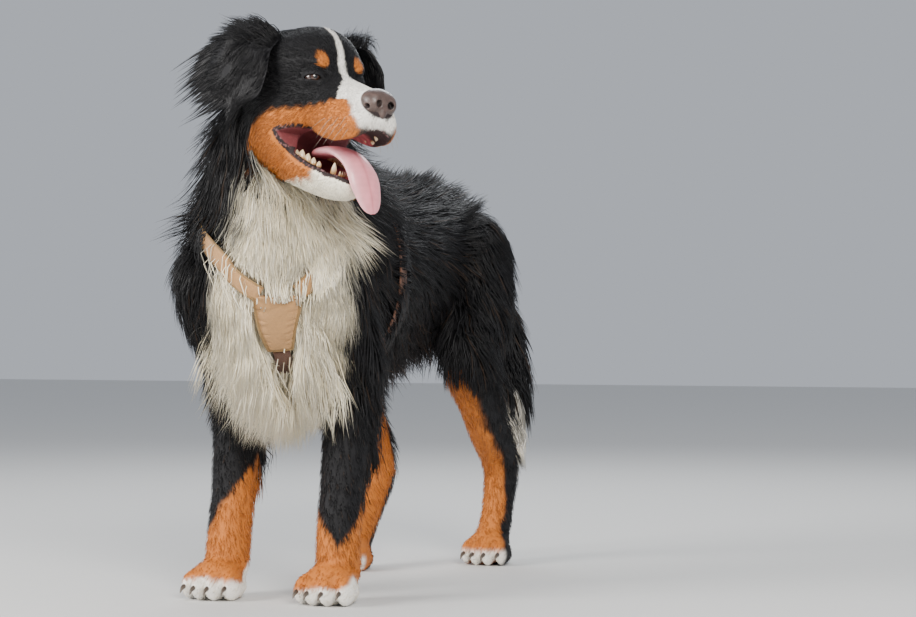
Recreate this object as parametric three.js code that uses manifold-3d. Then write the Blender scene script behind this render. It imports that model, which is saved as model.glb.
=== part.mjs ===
// A life-size Bernese mountain dog: a big, long-coated working dog that stands on its four feet,
// its head turned to its own left with the mouth open, in a soft Y-shaped chest harness.
// Millimetres. The dog faces -Y, its left side is +X and it stands on the floor at Z = 0.
import * as THREE from "three";
import { mergeVertices } from "three/addons/utils/BufferGeometryUtils.js";
import Module from "manifold-3d";

const wasm = await Module();
wasm.setup();

// Driving sizes.
const WITHERS = 680; // floor to the top of the shoulders
const FORE_SPREAD = 96; // middle line to the middle of a front foot
const HIND_SPREAD = 94;
const PAW_WIDTH = 104;
const HEAD_AT = [108, -140, 778]; // between the eyes and the ears, on the eyes' level
const HEAD_TURN = 64; // degrees that the head is turned to the dog's left
const HEAD_NOD = 2; // degrees that the back of the skull is higher than the nose
const HEAD_TILT = 4; // degrees that the left eye is lower than the right
const JAW_DROP = 18; // degrees that the jaw is open
const GAP = 0.4; // left between nodes that touch
const MIDDLE = [55, 250]; // the middle of the dog's box, which is put over the origin

const v = (x, y, z) => new THREE.Vector3(x, y, z);
const vec = (a) => v(a[0], a[1], a[2]);
const { clamp, degToRad, lerp: mix } = THREE.MathUtils;
const pair = (make) => [make(1), make(-1)];
const sides = [
  ["left", 1],
  ["right", -1],
];

// Fields. Each is a function of a point, in millimetres, that is below 0 inside the form.

// A chain of round sections [x, y, z, radius], smoothed, and narrowed sideways by flat.
function limb(sections, flat = 1) {
  const line = new THREE.CatmullRomCurve3(sections.map(vec), false, "centripetal");
  const steps = (sections.length - 1) * 4;
  const points = [];
  for (let i = 0; i <= steps; i++) {
    const at = (i / steps) * (sections.length - 1);
    const k = Math.min(Math.floor(at), sections.length - 2);
    const f = at - k;
    const eased = (f + f * f * (3 - 2 * f)) / 2;
    points.push({ p: line.getPoint(i / steps), r: mix(sections[k][3], sections[k + 1][3], eased) });
  }
  return (q) => {
    let best = Infinity;
    for (let i = 0; i < steps; i++) {
      const a = points[i];
      const b = points[i + 1];
      const bx = (b.p.x - a.p.x) / flat;
      const by = b.p.y - a.p.y;
      const bz = b.p.z - a.p.z;
      const px = (q.x - a.p.x) / flat;
      const py = q.y - a.p.y;
      const pz = q.z - a.p.z;
      const t = clamp((px * bx + py * by + pz * bz) / (bx * bx + by * by + bz * bz), 0, 1);
      best = Math.min(best, Math.hypot(px - t * bx, py - t * by, pz - t * bz) - mix(a.r, b.r, t));
    }
    return best * Math.min(1, flat);
  };
}

// An ellipsoid at c with half-axes r.
function egg(c, r) {
  return (q) => {
    const x = (q.x - c[0]) / r[0];
    const y = (q.y - c[1]) / r[1];
    const z = (q.z - c[2]) / r[2];
    const k0 = Math.hypot(x, y, z);
    const k1 = Math.hypot(x / r[0], y / r[1], z / r[2]);
    return k1 < 1e-9 ? -Math.min(...r) : (k0 * (k0 - 1)) / k1;
  };
}

// Forms run into one another over a width of about k.
const blend = (k, ...fields) => (q) =>
  fields.reduce((a, field) => {
    const b = field(q);
    const h = Math.max(k - Math.abs(a - b), 0) / k;
    return Math.min(a, b) - (h * h * k) / 4;
  }, 1e6);

// The first form with the others taken out of it, with edges rounded over k.
const hollowed = (k, field, ...taken) => (q) =>
  taken.reduce((a, cut) => {
    const b = -cut(q);
    const h = Math.max(k - Math.abs(a - b), 0) / k;
    return Math.max(a, b) + (h * h * k) / 4;
  }, field(q));

// A field of one frame, read in the frame that holds it.
function placed(field, pose) {
  const back = pose.clone().invert();
  const q = v(0, 0, 0);
  return (p) => field(q.copy(p).applyMatrix4(back));
}

// Surfaces and solids.

// How far the form reaches from a point inside it, in a direction, seen from outside.
function reach(field, from, direction, far) {
  const q = v(0, 0, 0);
  const at = (r) => field(q.copy(from).addScaledVector(direction, r));
  const step = far / 40;
  let r = far;
  while (r > 0 && at(r) > 0) r -= step;
  if (r <= 0) return 0.5;
  let inside = r;
  let outside = r + step;
  for (let i = 0; i < 14; i++) {
    const middle = (inside + outside) / 2;
    if (at(middle) > 0) outside = middle;
    else inside = middle;
  }
  return Math.max(inside, 0.5);
}

function facingOut(field, q) {
  const e = 0.5;
  const at = (x, y, z) => field(v(q.x + x, q.y + y, q.z + z));
  return v(at(e, 0, 0) - at(-e, 0, 0), at(0, e, 0) - at(0, -e, 0), at(0, 0, e) - at(0, 0, -e)).normalize();
}

// A closed skin on a field: a globe's grid run along a spine, each point pushed out to the surface
// and then further by a margin.
function skin(field, spine, rings, around, far, margin = 0, side = v(1, 0, 0)) {
  const pole = (at, before) => {
    const out = at.clone().sub(before).normalize();
    return at.clone().addScaledVector(out, reach(field, at, out, far));
  };
  const ends = [pole(spine[0], spine[1]), pole(spine.at(-1), spine.at(-2))];
  const line = new THREE.CatmullRomCurve3([ends[0], ...spine, ends[1]], false, "centripetal");
  const globe = new THREE.SphereGeometry(1, around, rings);
  const place = globe.attributes.position;
  for (let i = 0; i < place.count; i++) {
    const ring = Math.floor(i / (around + 1));
    const turn = ((i % (around + 1)) / around) * 2 * Math.PI;
    const share = ring / rings;
    const t = clamp(mix(share, (1 - Math.cos(Math.PI * share)) / 2, 0.55), 0, 1);
    const from = line.getPointAt(t);
    if (ring > 0 && ring < rings) {
      const along = line.getTangentAt(t);
      const across = side.clone().addScaledVector(along, -side.dot(along)).normalize();
      const up = along.clone().cross(across);
      const out = across.multiplyScalar(Math.cos(turn)).addScaledVector(up, Math.sin(turn));
      from.addScaledVector(out, reach(field, from, out, far));
    }
    if (margin) from.addScaledVector(facingOut(field, from), margin);
    place.setXYZ(i, from.x, from.y, from.z);
  }
  return solid(globe);
}

function signedVolume(geometry) {
  const p = geometry.attributes.position;
  const n = geometry.index.array;
  const [a, b, c] = [v(0, 0, 0), v(0, 0, 0), v(0, 0, 0)];
  let sum = 0;
  for (let i = 0; i < n.length; i += 3) {
    b.fromBufferAttribute(p, n[i + 1]).cross(c.fromBufferAttribute(p, n[i + 2]));
    sum += a.fromBufferAttribute(p, n[i]).dot(b);
  }
  return sum / 6;
}

// A closed geometry as a solid, with its faces turned out.
function solid(geometry) {
  const bare = geometry.clone();
  bare.deleteAttribute("normal");
  bare.deleteAttribute("uv");
  const merged = mergeVertices(bare, 1e-3);
  const kept = [];
  const n = merged.index.array;
  for (let i = 0; i < n.length; i += 3) {
    const [a, b, c] = [n[i], n[i + 1], n[i + 2]];
    if (a !== b && b !== c && a !== c) kept.push(a, b, c);
  }
  merged.setIndex(kept);
  const flip = signedVolume(merged) < 0;
  const triVerts = new Uint32Array(kept);
  for (let i = 0; flip && i < triVerts.length; i += 3) {
    [triVerts[i + 1], triVerts[i + 2]] = [triVerts[i + 2], triVerts[i + 1]];
  }
  const vertProperties = merged.attributes.position.array;
  return new wasm.Manifold(new wasm.Mesh({ numProp: 3, vertProperties, triVerts }));
}

const largest = (made) => made.decompose().reduce((a, b) => (a.volume() > b.volume() ? a : b));

// The part of a solid on the far side of a plane, in the direction it faces.
function beyond(made, point, facing) {
  const size = 3000;
  const block = new THREE.BoxGeometry(size, size, size);
  block.translate(0, 0, size / 2);
  block.applyQuaternion(new THREE.Quaternion().setFromUnitVectors(v(0, 0, 1), facing.clone().normalize()));
  block.translate(point.x, point.y, point.z);
  return made.intersect(solid(block));
}

function geometryOf(made) {
  const mesh = made.getMesh();
  const place = new Float32Array(mesh.numVert * 3);
  for (let i = 0; i < mesh.numVert; i++) {
    place.set(mesh.vertProperties.subarray(i * mesh.numProp, i * mesh.numProp + 3), i * 3);
  }
  const geometry = new THREE.BufferGeometry();
  geometry.setAttribute("position", new THREE.BufferAttribute(place, 3));
  geometry.setIndex(new THREE.BufferAttribute(new Uint32Array(mesh.triVerts), 1));
  geometry.computeVertexNormals();
  return geometry;
}

// A flat band that lies on a field along a line, with its own width at each share of its length.
function band(field, points, widthAt, thickness, steps, margin, folds = 1) {
  const line = new THREE.CatmullRomCurve3(points.map(vec), false, "centripetal");
  const onto = (t) => {
    const p = line.getPointAt(clamp(t, 0, 1));
    for (let i = 0; i < 4; i++) p.addScaledVector(facingOut(field, p), -field(p));
    return p;
  };
  const strip = new THREE.BoxGeometry(1, 1, 1, folds, steps, 1);
  const place = strip.attributes.position;
  for (let i = 0; i < place.count; i++) {
    const t = place.getY(i) + 0.5;
    const p = onto(t);
    const along = onto(t + 0.02).sub(onto(t - 0.02)).normalize();
    const out = facingOut(field, p);
    const across = along.clone().cross(out).normalize();
    const half = place.getX(i) * 2 * (widthAt(t) / 2 + margin);
    const edge = p.clone().addScaledVector(across, half);
    for (let k = 0; k < 3; k++) edge.addScaledVector(facingOut(field, edge), -field(edge));
    const top = place.getZ(i) > 0;
    edge.addScaledVector(out, top ? thickness + margin : -bedding - margin);
    edge.addScaledVector(along, (t < 0.01 ? -margin : 0) + (t > 0.99 ? margin : 0));
    place.setXYZ(i, edge.x, edge.y, edge.z);
  }
  return solid(strip);
}

// Seeded, so that each build is the same.
let seed = 11;
const random = () => {
  seed = (seed * 16807) % 2147483647;
  return seed / 2147483647;
};
const vary = (amount) => 1 + amount * (2 * random() - 1);

// Locks of hair. Each is a flat tapered tongue with a ridge down its outer face: it starts sunk in
// the coat's core, runs the way the hair lies and lifts off the cores that it passes over.
const ROOT_SUNK = 10; // depth of a lock's root below the core's surface
const OVERLIE = 4; // that a lock keeps above the cores on its way
const lockRows = 3;
const widthAlong = [0.75, 1, 0.72, 0];
const thickAlong = [1, 1, 0.7, 0];

// A row of n roots: from points between a and b inside the form, outwards between two directions.
function row(field, n, [a, b], [aimA, aimB], lie, length, width, lift = 12) {
  return Array.from({ length: n }, (_, i) => {
    const share = (i + 0.3 + 0.4 * random()) / n;
    const from = vec(a).lerp(vec(b), share);
    const aim = vec(aimA).normalize().lerp(vec(aimB).normalize(), share).normalize();
    const root = from.clone().addScaledVector(aim, reach(field, from, aim, 240));
    const way = vec(lie).normalize().add(v(0.16 * (random() - 0.5), 0.16 * (random() - 0.5), 0)).normalize();
    return { root, way, length: length * vary(0.18), width: width * vary(0.15), lift: lift * vary(0.3) };
  });
}

function lock(field, { root, way, length, width, lift, sunk = ROOT_SUNK }, by) {
  const path = [root.clone().addScaledVector(facingOut(field, root), -sunk)];
  for (let k = 1; k <= lockRows; k++) {
    const p = (k === 1 ? root : path[k - 1]).clone().addScaledVector(way, length / lockRows);
    const need = mix(OVERLIE, lift, (k / lockRows) ** 2);
    for (let i = 0; i < 3 && field(p) < need; i++) p.addScaledVector(facingOut(field, p), need - field(p));
    path.push(p);
  }
  const cone = new THREE.ConeGeometry(1, 1, 3, lockRows);
  const place = cone.attributes.position;
  for (let i = 0; i < place.count; i++) {
    const k = Math.round((place.getY(i) + 0.5) * lockRows);
    const ring = Math.hypot(place.getX(i), place.getZ(i)) || 1;
    const along = path[Math.min(k + 1, lockRows)].clone().sub(path[Math.max(k - 1, 0)]).normalize();
    const across = along.clone().cross(facingOut(field, path[k])).normalize();
    const up = across.clone().cross(along);
    const side = Math.sign(Math.round(place.getX(i) / ring));
    const height = place.getZ(i) / ring;
    const at = path[k].clone();
    if (k < lockRows) {
      at.addScaledVector(across, side * ((width / 2) * widthAlong[k] + 4 * by));
      at.addScaledVector(up, height * (0.16 * width * thickAlong[k] + 2 * by));
    }
    at.addScaledVector(along, (k === lockRows ? 20 * by : 0) - (k === 0 ? by : 0));
    place.setXYZ(i, at.x, at.y, at.z);
  }
  return solid(cone);
}

// Nodes, in the order in which they hold their ground: each gives way to those before it. A node of
// the coat carries its locks, which lie over a field of the cores about it.
const nodes = [];
function node(name, colour, roughness, make, locks = [], over = null) {
  const whole = (by) => locks.reduce((made, each) => made.add(lock(over, each, by)), make(by));
  nodes.push({ name, colour, roughness, base: whole(0), clear: whole(GAP) });
}

const BLACK = 0x1a191c;
const RUST = 0xb4601f;
const CREAM = 0xe9e4d8;

// Trunk: deep chest, level back and a full rump, a little narrower than it is deep.
const chestDepth = 0.475 * WITHERS;
const chestLevel = WITHERS - 12 - chestDepth / 2;
const trunkFlat = 0.84;
const trunkSections = [
  [32, -88, 506, 94],
  [14, -6, chestLevel, chestDepth / 2],
  [0, 150, chestLevel + 4, chestDepth / 2 - 2],
  [0, 330, 540, 143],
  [0, 500, 552, 138],
  [0, 592, 552, 98],
];
const trunk = limb(trunkSections, trunkFlat);

// Neck, bent to the left under the turned head.
const neckSections = [
  [10, 30, 570, 130],
  [17, -40, 650, 125],
  [48, -84, 724, 107],
  [84, -100, 772, 74],
];
const neck = limb(neckSections, 0.95);
const bodyField = blend(60, trunk, neck);

// Neck and torso part along a plane from the withers down to the breastbone.
const collarAt = v(10, -50, 606);
const collarFacing = v(0, -0.54, 0.84).normalize();

// Head frame: the eyes are on the level Z = 0 and the muzzle points along -Y.
const headPose = new THREE.Matrix4().compose(
  vec(HEAD_AT),
  new THREE.Quaternion().setFromEuler(
    new THREE.Euler(degToRad(HEAD_NOD), degToRad(HEAD_TILT), degToRad(HEAD_TURN), "ZXY"),
  ),
  v(1, 1, 1),
);
const eyeAt = (s) => [s * 38, -75, 4];
const eyeRadius = 12.5;
const muzzle = limb([
  [0, -62, -28, 50],
  [0, -112, -40, 44],
  [0, -150, -46, 38],
  [0, -164, -49, 35],
]);
const skull = blend(
  28,
  egg([0, 12, 14], [79, 92, 72]),
  egg([0, -38, 26], [61, 51, 56]),
  ...pair((s) => egg([s * 42, -2, -48], [36, 58, 52])),
  ...pair((s) => egg([s * 32, 8, -86], [34, 50, 40])),
);
const face = blend(
  12,
  blend(20, skull, muzzle),
  ...pair((s) => egg([s * 31, -72, 27], [20, 19, 13])),
  ...pair((s) => egg([s * 30, -126, -66], [19, 52, 29])),
  ...pair((s) => egg([s * 22, -164, -66], [20, 27, 28])),
);
const faceSpine = [
  [62, 4],
  [10, 0],
  [-45, -10],
  [-85, -28],
  [-125, -42],
  [-158, -50],
].map(([y, z]) => v(0, y, z));

// Head and neck part along a plane from the nape down to the throat, in the head's frame.
const napeAt = v(0, 46, -10);
const napeFacing = v(0, 0.94, -0.34).normalize();

// The open mouth: a gap between the lips, seen from the side as [y, z], and the hollow behind it.
const lips = [
  [-36, -76],
  [-56, -68],
  [-84, -74],
  [-112, -85],
  [-140, -93],
  [-170, -95],
  [-192, -88],
  [-240, -84],
  [-240, -220],
  [-76, -220],
  [-58, -128],
];
const gape = new THREE.ExtrudeGeometry(new THREE.Shape(lips.map((p) => new THREE.Vector2(p[0], p[1]))), {
  depth: 200,
  bevelEnabled: false,
});
gape.applyMatrix4(new THREE.Matrix4().makeBasis(v(0, 1, 0), v(0, 0, 1), v(1, 0, 0)).setPosition(-100, 0, 0));
const mouth = limb(
  [
    [0, -44, -98, 34],
    [0, -95, -110, 44],
    [0, -150, -112, 42],
    [0, -186, -112, 38],
  ],
  0.96,
);
const mouthSpine = [v(0, -44, -98), v(0, -95, -110), v(0, -150, -112), v(0, -186, -112)];

// Lower jaw, in the head's frame, made shut and then dropped about its hinge.
const hinge = v(0, 5, -50);
const jawPose = headPose
  .clone()
  .multiply(new THREE.Matrix4().makeTranslation(hinge))
  .multiply(new THREE.Matrix4().makeRotationX(degToRad(JAW_DROP)))
  .multiply(new THREE.Matrix4().makeTranslation(hinge.clone().negate()));
const jawForm = limb(
  [
    [0, -18, -98, 38],
    [0, -74, -102, 36],
    [0, -109, -104, 32],
    [0, -137, -104, 27],
    [0, -150, -103, 22],
  ],
  1.28,
);
const jawTrough = limb(
  [
    [0, -10, -62, 34],
    [0, -80, -78, 30],
    [0, -130, -86, 22],
    [0, -152, -88, 14],
  ],
  1.3,
);
const jawSpine = [v(0, -18, -100), v(0, -80, -104), v(0, -125, -105), v(0, -150, -103)];
const troughSpine = [v(0, -10, -64), v(0, -80, -79), v(0, -130, -87), v(0, -152, -88)];

// Front legs: shoulder, elbow, wrist and foot in one form on each side.
const elbow = 0.53 * WITHERS;
const wrist = 128;
const foreStep = (s) => (s > 0 ? 10 : 0); // the left front foot stands a little further back
const foreleg = (s) =>
  limb(
    [
      [s * 88, 44, 586, 62],
      [s * 106, -52, 494, 70],
      [s * 102, 30, elbow + 16, 62],
      [s * 98, 26, 270, 48],
      [s * FORE_SPREAD, 6, 160, 40],
      [s * FORE_SPREAD, -2, 112, 41],
      [s * FORE_SPREAD, -12 + foreStep(s), 50, 42],
    ],
    0.86,
  );

// Harness: a padded plate on the breastbone, straps from it over the shoulders to the back and down
// between the front legs, and a girth behind the elbows.
const TAN = 0xb98a56;
const STRAP = 0x5a3526;
const chest = blend(16, bodyField, foreleg(1), foreleg(-1));
const padding = 7; // above the coat's core
const webbing = 5;
const bedding = 5; // sunk into the coat
const girthLevel = 150;
const girthPoint = (turn) => [190 * Math.sin(turn), girthLevel, 506 - 190 * Math.cos(turn)];
const girthPath = (s) => [0.02, 0.2, 0.4, 0.6, 0.8, 0.94].map((share) => girthPoint(s * share * Math.PI));
const strapWidth = 26;
const platePath = [[82, -170, 462], [74, -156, 410], [66, -130, 362]];
const leftPath = [[112, -156, 468], [136, -130, 510], [134, -60, 590], [80, 30, 660], [16, 96, 690]];
const rightPath = [[52, -172, 470], [-30, -150, 536], [-104, -60, 600], [-76, 30, 660], [-16, 96, 690]];
const breastPath = [[64, -124, 358], [36, -60, 330], [10, 30, 320], [0, girthLevel - 16, 320]];
const backPath = [[0, 104, 700], [0, girthLevel + 16, 700]];
node("harness_plate", TAN, 0.7, (by) => band(chest, platePath, (t) => mix(80, 38, t), padding, 5, by, 2));
node("harness_strap_left", TAN, 0.7, (by) => band(chest, leftPath, () => strapWidth, webbing, 8, by));
node("harness_strap_right", TAN, 0.7, (by) => band(chest, rightPath, () => strapWidth, webbing, 8, by));
node("harness_breast_strap", STRAP, 0.6, (by) =>
  band(bodyField, breastPath, (t) => mix(strapWidth, 24, t), webbing, 6, by),
);
node("harness_back", TAN, 0.7, (by) => band(bodyField, backPath, () => 60, padding, 2, by, 2));
for (const [side, s] of sides) {
  node(`harness_girth_${side}`, STRAP, 0.6, (by) => band(bodyField, girthPath(s), () => 28, webbing, 7, by));
}

// Eyes, nose and tongue.
for (const [side, s] of sides) {
  node(`eye_${side}`, 0x2a1a12, 0.12, (by) => {
    const ball = new THREE.SphereGeometry(eyeRadius + by, 12, 7);
    ball.translate(...eyeAt(s));
    return solid(ball).transform(headPose.elements);
  });
}
const nostril = (s) =>
  limb([
    [s * 9, -200, -35, 4],
    [s * 12, -190, -35, 5],
    [s * 21, -184, -39, 3],
  ]);
const noseForm = blend(
  8,
  egg([0, -180, -30], [24, 15, 15]),
  ...pair((s) => egg([s * 12.5, -182, -35], [13, 15, 13])),
  egg([0, -180, -46], [10, 13, 11]),
);
const noseField = hollowed(3, noseForm, nostril(1), nostril(-1));
const noseSpine = [v(0, -172, -32), v(0, -178, -35), v(0, -184, -38)];
node("nose", 0x4a3a36, 0.45, (by) => {
  const whole = skin(by ? noseForm : noseField, noseSpine, 10, 16, 40, by);
  return beyond(whole, v(0, by - 177, 0), v(0, -1, 0)).transform(headPose.elements);
});

// The tongue lies in the jaw and hangs over its front, to the dog's left.
const tongueLine = new THREE.CatmullRomCurve3(
  [
    [0, -44, -104],
    [0, -74, -100],
    [2, -104, -101],
    [5, -130, -112],
    [9, -146, -130],
    [15, -156, -158],
    [20, -164, -190],
  ].map(vec),
);
const tongueWidth = 27;
node("tongue", 0xd98a9c, 0.4, (by) => {
  const globe = new THREE.SphereGeometry(1, 12, 12);
  const place = globe.attributes.position;
  for (let i = 0; i < place.count; i++) {
    const t = clamp((1 - place.getY(i)) / 2, 0, 1);
    const from = tongueLine.getPoint(t);
    const along = tongueLine.getTangent(t);
    const across = v(1, 0, 0).addScaledVector(along, -along.x).normalize();
    const up = along.clone().cross(across);
    const edge = Math.sqrt(Math.max(0, 1 - (1 - 2 * t) ** 4));
    const ring = Math.hypot(place.getX(i), place.getZ(i)) || 1;
    const groove = 1 - 0.35 * Math.abs(place.getZ(i) / ring) ** 8;
    from.addScaledVector(across, (place.getX(i) / ring) * edge * (tongueWidth * mix(0.85, 1.05, t) + by));
    from.addScaledVector(up, (place.getZ(i) / ring) * edge * (mix(10, 5, t) * groove + by));
    place.setXYZ(i, from.x, from.y, from.z);
  }
  return solid(globe).transform(headPose.elements);
});

// Ears: soft broad flaps that hang from the top of the skull, the right one blown back and the left
// one forward. Each lies between a front edge and a back edge, root first.
const earPlan = {
  left: {
    s: 1,
    fore: [[52, -12, 66], [84, -38, 64], [98, -56, 34], [104, -60, 6], [108, -40, -32]],
    aft: [[52, 44, 66], [90, 40, 64], [106, 34, 34], [110, 20, 0], [110, -10, -34]],
    fringe: [
      [0.35, 0.7, [0.1, 0.8, -0.6], 56],
      [0.62, 0.7, [0.05, 0.6, -0.8], 60],
      [0.86, 0.55, [0, 0.1, -1], 50],
    ],
  },
  right: {
    s: -1,
    fore: [[-52, -10, 66], [-80, -24, 40], [-92, -34, 4], [-98, -28, -26], [-104, 8, -42]],
    aft: [[-50, 46, 68], [-84, 80, 66], [-104, 90, 30], [-110, 76, -8], [-108, 36, -40]],
    fringe: [
      [0.16, 0.7, [-0.25, 1, 0.32], 70],
      [0.36, 0.78, [-0.2, 1, 0.1], 74],
      [0.56, 0.78, [-0.15, 1, -0.14], 72],
      [0.76, 0.72, [-0.1, 0.9, -0.4], 66],
      [0.92, 0.5, [-0.05, 0.45, -0.9], 50],
    ],
  },
};
const earBulge = 44; // how strongly a flap's middle stands out near its root
for (const [side] of sides) {
  const ear = earPlan[side];
  const foreEdge = new THREE.CatmullRomCurve3(ear.fore.map(vec));
  const backEdge = new THREE.CatmullRomCurve3(ear.aft.map(vec));
  const outward = v(ear.s, 0, 0.25).normalize();
  node(`ear_${side}`, BLACK, 0.85, (by) => {
    const leaf = new THREE.SphereGeometry(1, 12, 9);
    const place = leaf.attributes.position;
    for (let i = 0; i < place.count; i++) {
      const t = clamp((1 - place.getY(i)) / 2, 0, 1);
      const ring = Math.hypot(place.getX(i), place.getZ(i)) || 1;
      const w = (place.getX(i) / ring + 1) / 2;
      const p = foreEdge.getPoint(t).lerp(backEdge.getPoint(t), w);
      const edge = Math.sqrt(Math.max(0, 1 - (2 * t - 1) ** 6));
      const thick = edge * (mix(8, 4, t) + by);
      p.addScaledVector(outward, earBulge * w * (1 - w) * (1 - t) + (place.getZ(i) / ring) * thick);
      place.setXYZ(i, p.x, p.y, p.z);
    }
    const fringe = ear.fringe.map(([t, w, way, length]) => {
      const root = foreEdge.getPoint(t).lerp(backEdge.getPoint(t), w);
      root.addScaledVector(outward, earBulge * w * (1 - w) * (1 - t));
      const flat = (q) => q.clone().sub(root).dot(outward);
      return lock(flat, { root, way: vec(way).normalize(), length, width: 30, lift: 6, sunk: 0 }, by);
    });
    return fringe.reduce((made, each) => made.add(each), solid(leaf)).transform(headPose.elements);
  });
}

// Head and jaw.
const eyeHole = (s, by) => {
  const hole = new THREE.SphereGeometry(1, 14, 10);
  hole.scale(15 - by, 14 - by, 9.5 - by);
  hole.translate(s * 42, -83, 3.5);
  return solid(hole);
};
const ballAt = (s, r) => {
  const ball = new THREE.SphereGeometry(r, 12, 7);
  ball.translate(...eyeAt(s));
  return solid(ball);
};
// The lids are a shell over the eye, with a slit in it that points out of the face.
const lids = (s) => {
  const slit = new THREE.SphereGeometry(1, 10, 6);
  slit.scale(14, 16, 5.2);
  slit.rotateX(degToRad(-6));
  slit.rotateZ(degToRad(s * 30));
  slit.translate(s * 45, -87, 3.5);
  return ballAt(s, eyeRadius + 3.4).subtract(ballAt(s, eyeRadius + GAP)).subtract(solid(slit));
};
const inHead = headPose.clone().invert();
const overHead = blend(8, face, placed(neck, inHead));
const crest = [
  ...row(face, 2, [[-20, -6, 20], [-10, 30, 20]], [[-0.5, 0, 1], [-0.4, 0.3, 1]],
    [-0.1, 1, 0.35], 66, 36, 18),
  ...row(face, 1, [[10, 10, 20], [10, 10, 20]], [[0.3, 0, 1], [0.3, 0, 1]], [0.1, 1, 0.1], 60, 36, 12),
];
const cheekRuff = pair((s) => {
  const aims = [[s, 0.1, 0], [s, 0, -0.8]];
  return row(face, 3, [[s * 20, 0, -40], [s * 20, 0, -85]], aims, [0, 0.8, -0.9], 72, 36, 12);
}).flat();
node("head", BLACK, 0.8, (by) => {
  const whole = skin(face, faceSpine, 26, 24, 150, by);
  const cuts = by ? [] : [solid(gape), skin(mouth, mouthSpine, 12, 16, 80), eyeHole(1, 0), eyeHole(-1, 0)];
  const open = cuts.reduce((a, cut) => a.subtract(cut), whole);
  const faced = by ? open : pair(lids).reduce((a, lid) => a.add(lid), open);
  const bare = beyond(faced, napeAt, napeFacing.clone().negate());
  const locks = [...crest, ...cheekRuff].map((each) => lock(overHead, each, by));
  return locks.reduce((made, each) => made.add(each), bare).transform(headPose.elements);
});

// Lower cheek teeth and the two lower canines, in the shut jaw's frame: [x, y, top, foot, radius].
const teeth = pair((s) => [
  [s * 22, -141, -70, -92, 5.5],
  [s * 36, -98, -76, -98, 6.5],
  [s * 37, -80, -76, -98, 7],
]).flat();
const tooth = ([x, y, top, foot, radius]) => {
  const cone = new THREE.ConeGeometry(radius, top - foot, 5);
  cone.rotateX(Math.PI / 2);
  cone.translate(x, y, (top + foot) / 2);
  return solid(cone);
};
node("jaw", RUST, 0.75, (by) => {
  const whole = skin(jawForm, jawSpine, 12, 16, 90, by);
  const made = by ? whole : whole.subtract(skin(jawTrough, troughSpine, 10, 12, 90));
  return teeth.reduce((a, each) => a.add(tooth(each)), made).transform(jawPose.elements);
});

// A claw of a foot: it starts in the toe and points forwards and down to just above the floor.
const claw = (x, y, by) => {
  const cone = new THREE.ConeGeometry(4.5 + by, 24 + 4 * by, 5);
  cone.rotateX(degToRad(180 + 24));
  cone.translate(x, y, 13);
  return solid(cone);
};
const floor = v(0, 0, 0);
const up = v(0, 0, 1);
const down = v(0, 0, -1);
const toes = [-1.5, -0.5, 0.5, 1.5];
const toeReach = (n) => (Math.abs(n) < 1 ? 44 : 32);

// Front legs.
const foreSpread = PAW_WIDTH / 4.3; // from toe to toe
for (const [side, s] of sides) {
  const arm = foreleg(s);
  const pawAt = v(s * FORE_SPREAD, -26 + foreStep(s), 0);
  const foot = blend(
    9,
    arm,
    ...toes.map((n) => egg([pawAt.x + n * foreSpread, pawAt.y - toeReach(n), 23], [14.5, 28, 25.5])),
    egg([pawAt.x, pawAt.y - 4, 18], [44, 40, 29]),
    egg([pawAt.x, pawAt.y - 18, 36], [43, 38, 31]),
  );
  const x = s * FORE_SPREAD;
  const pastern = [v(x, 0, 140), v(x, -4, 90), v(x, pawAt.y, 40), v(x, pawAt.y - 6, 14)];
  const shaftTop = [v(s * 103, 26, elbow + 30), v(s * 101, 28, elbow - 20)];
  const shaft = [...shaftTop, v(s * 98, 24, 270), v(x, 6, 160), v(x, -1, 108)];
  const shoulder = [v(s * 96, 4, 580), v(s * 101, 6, 470), v(s * 103, 16, elbow - 24)];
  const lift = (by) => (by ? 0 : GAP);
  const claws = (by) => toes.map((n) => claw(pawAt.x + n * foreSpread, pawAt.y - toeReach(n) - 26, by));
  node(`forepaw_${side}`, CREAM, 0.8, (by) => {
    const bare = beyond(beyond(skin(foot, pastern, 12, 22, 110, by), floor, up), v(0, 0, wrist), down);
    return claws(by).reduce((made, each) => made.add(each), bare);
  });
  const feathering = [
    ...row(arm, 3, [[s * 98, 26, elbow - 40], [s * 97, 12, 220]], [[0, 1, 0], [0, 1, 0]],
      [0, 0.4, -1], 84, 28, 16),
    ...row(arm, 2, [[s * 98, 20, elbow - 30], [s * 97, 16, 240]], [[-s, 0.5, 0], [-s, 0.5, 0]],
      [0, 0.1, -1], 90, 32),
  ];
  const shaftNode = (by) =>
    beyond(beyond(skin(foot, shaft, 9, 14, 110, by), v(0, 0, wrist + lift(by)), up), v(0, 0, elbow), down);
  node(`forearm_${side}`, BLACK, 0.85, shaftNode, feathering, arm);
  const shoulderCoat = [
    ...row(arm, 2, [[s * 96, 0, 530], [s * 96, 0, 530]], [[s, -0.7, 0], [s, 0.9, 0]],
      [0, 0.2, -1], 130, 46, 16),
    ...row(arm, 3, [[s * 98, 10, 440], [s * 98, 10, 440]], [[s, -0.9, 0], [s * 0.7, 1, 0]],
      [0, 0.2, -1], 120, 42, 16),
  ];
  const shoulderNode = (by) =>
    beyond(
      beyond(skin(foot, shoulder, 10, 12, 130, by), v(0, 0, elbow + lift(by)), up),
      v(s * (84 - (by ? GAP : 0)), 0, 0),
      v(s, 0, 0.12),
    );
  node(`upper_arm_${side}`, BLACK, 0.85, shoulderNode, shoulderCoat, chest);
}

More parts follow.
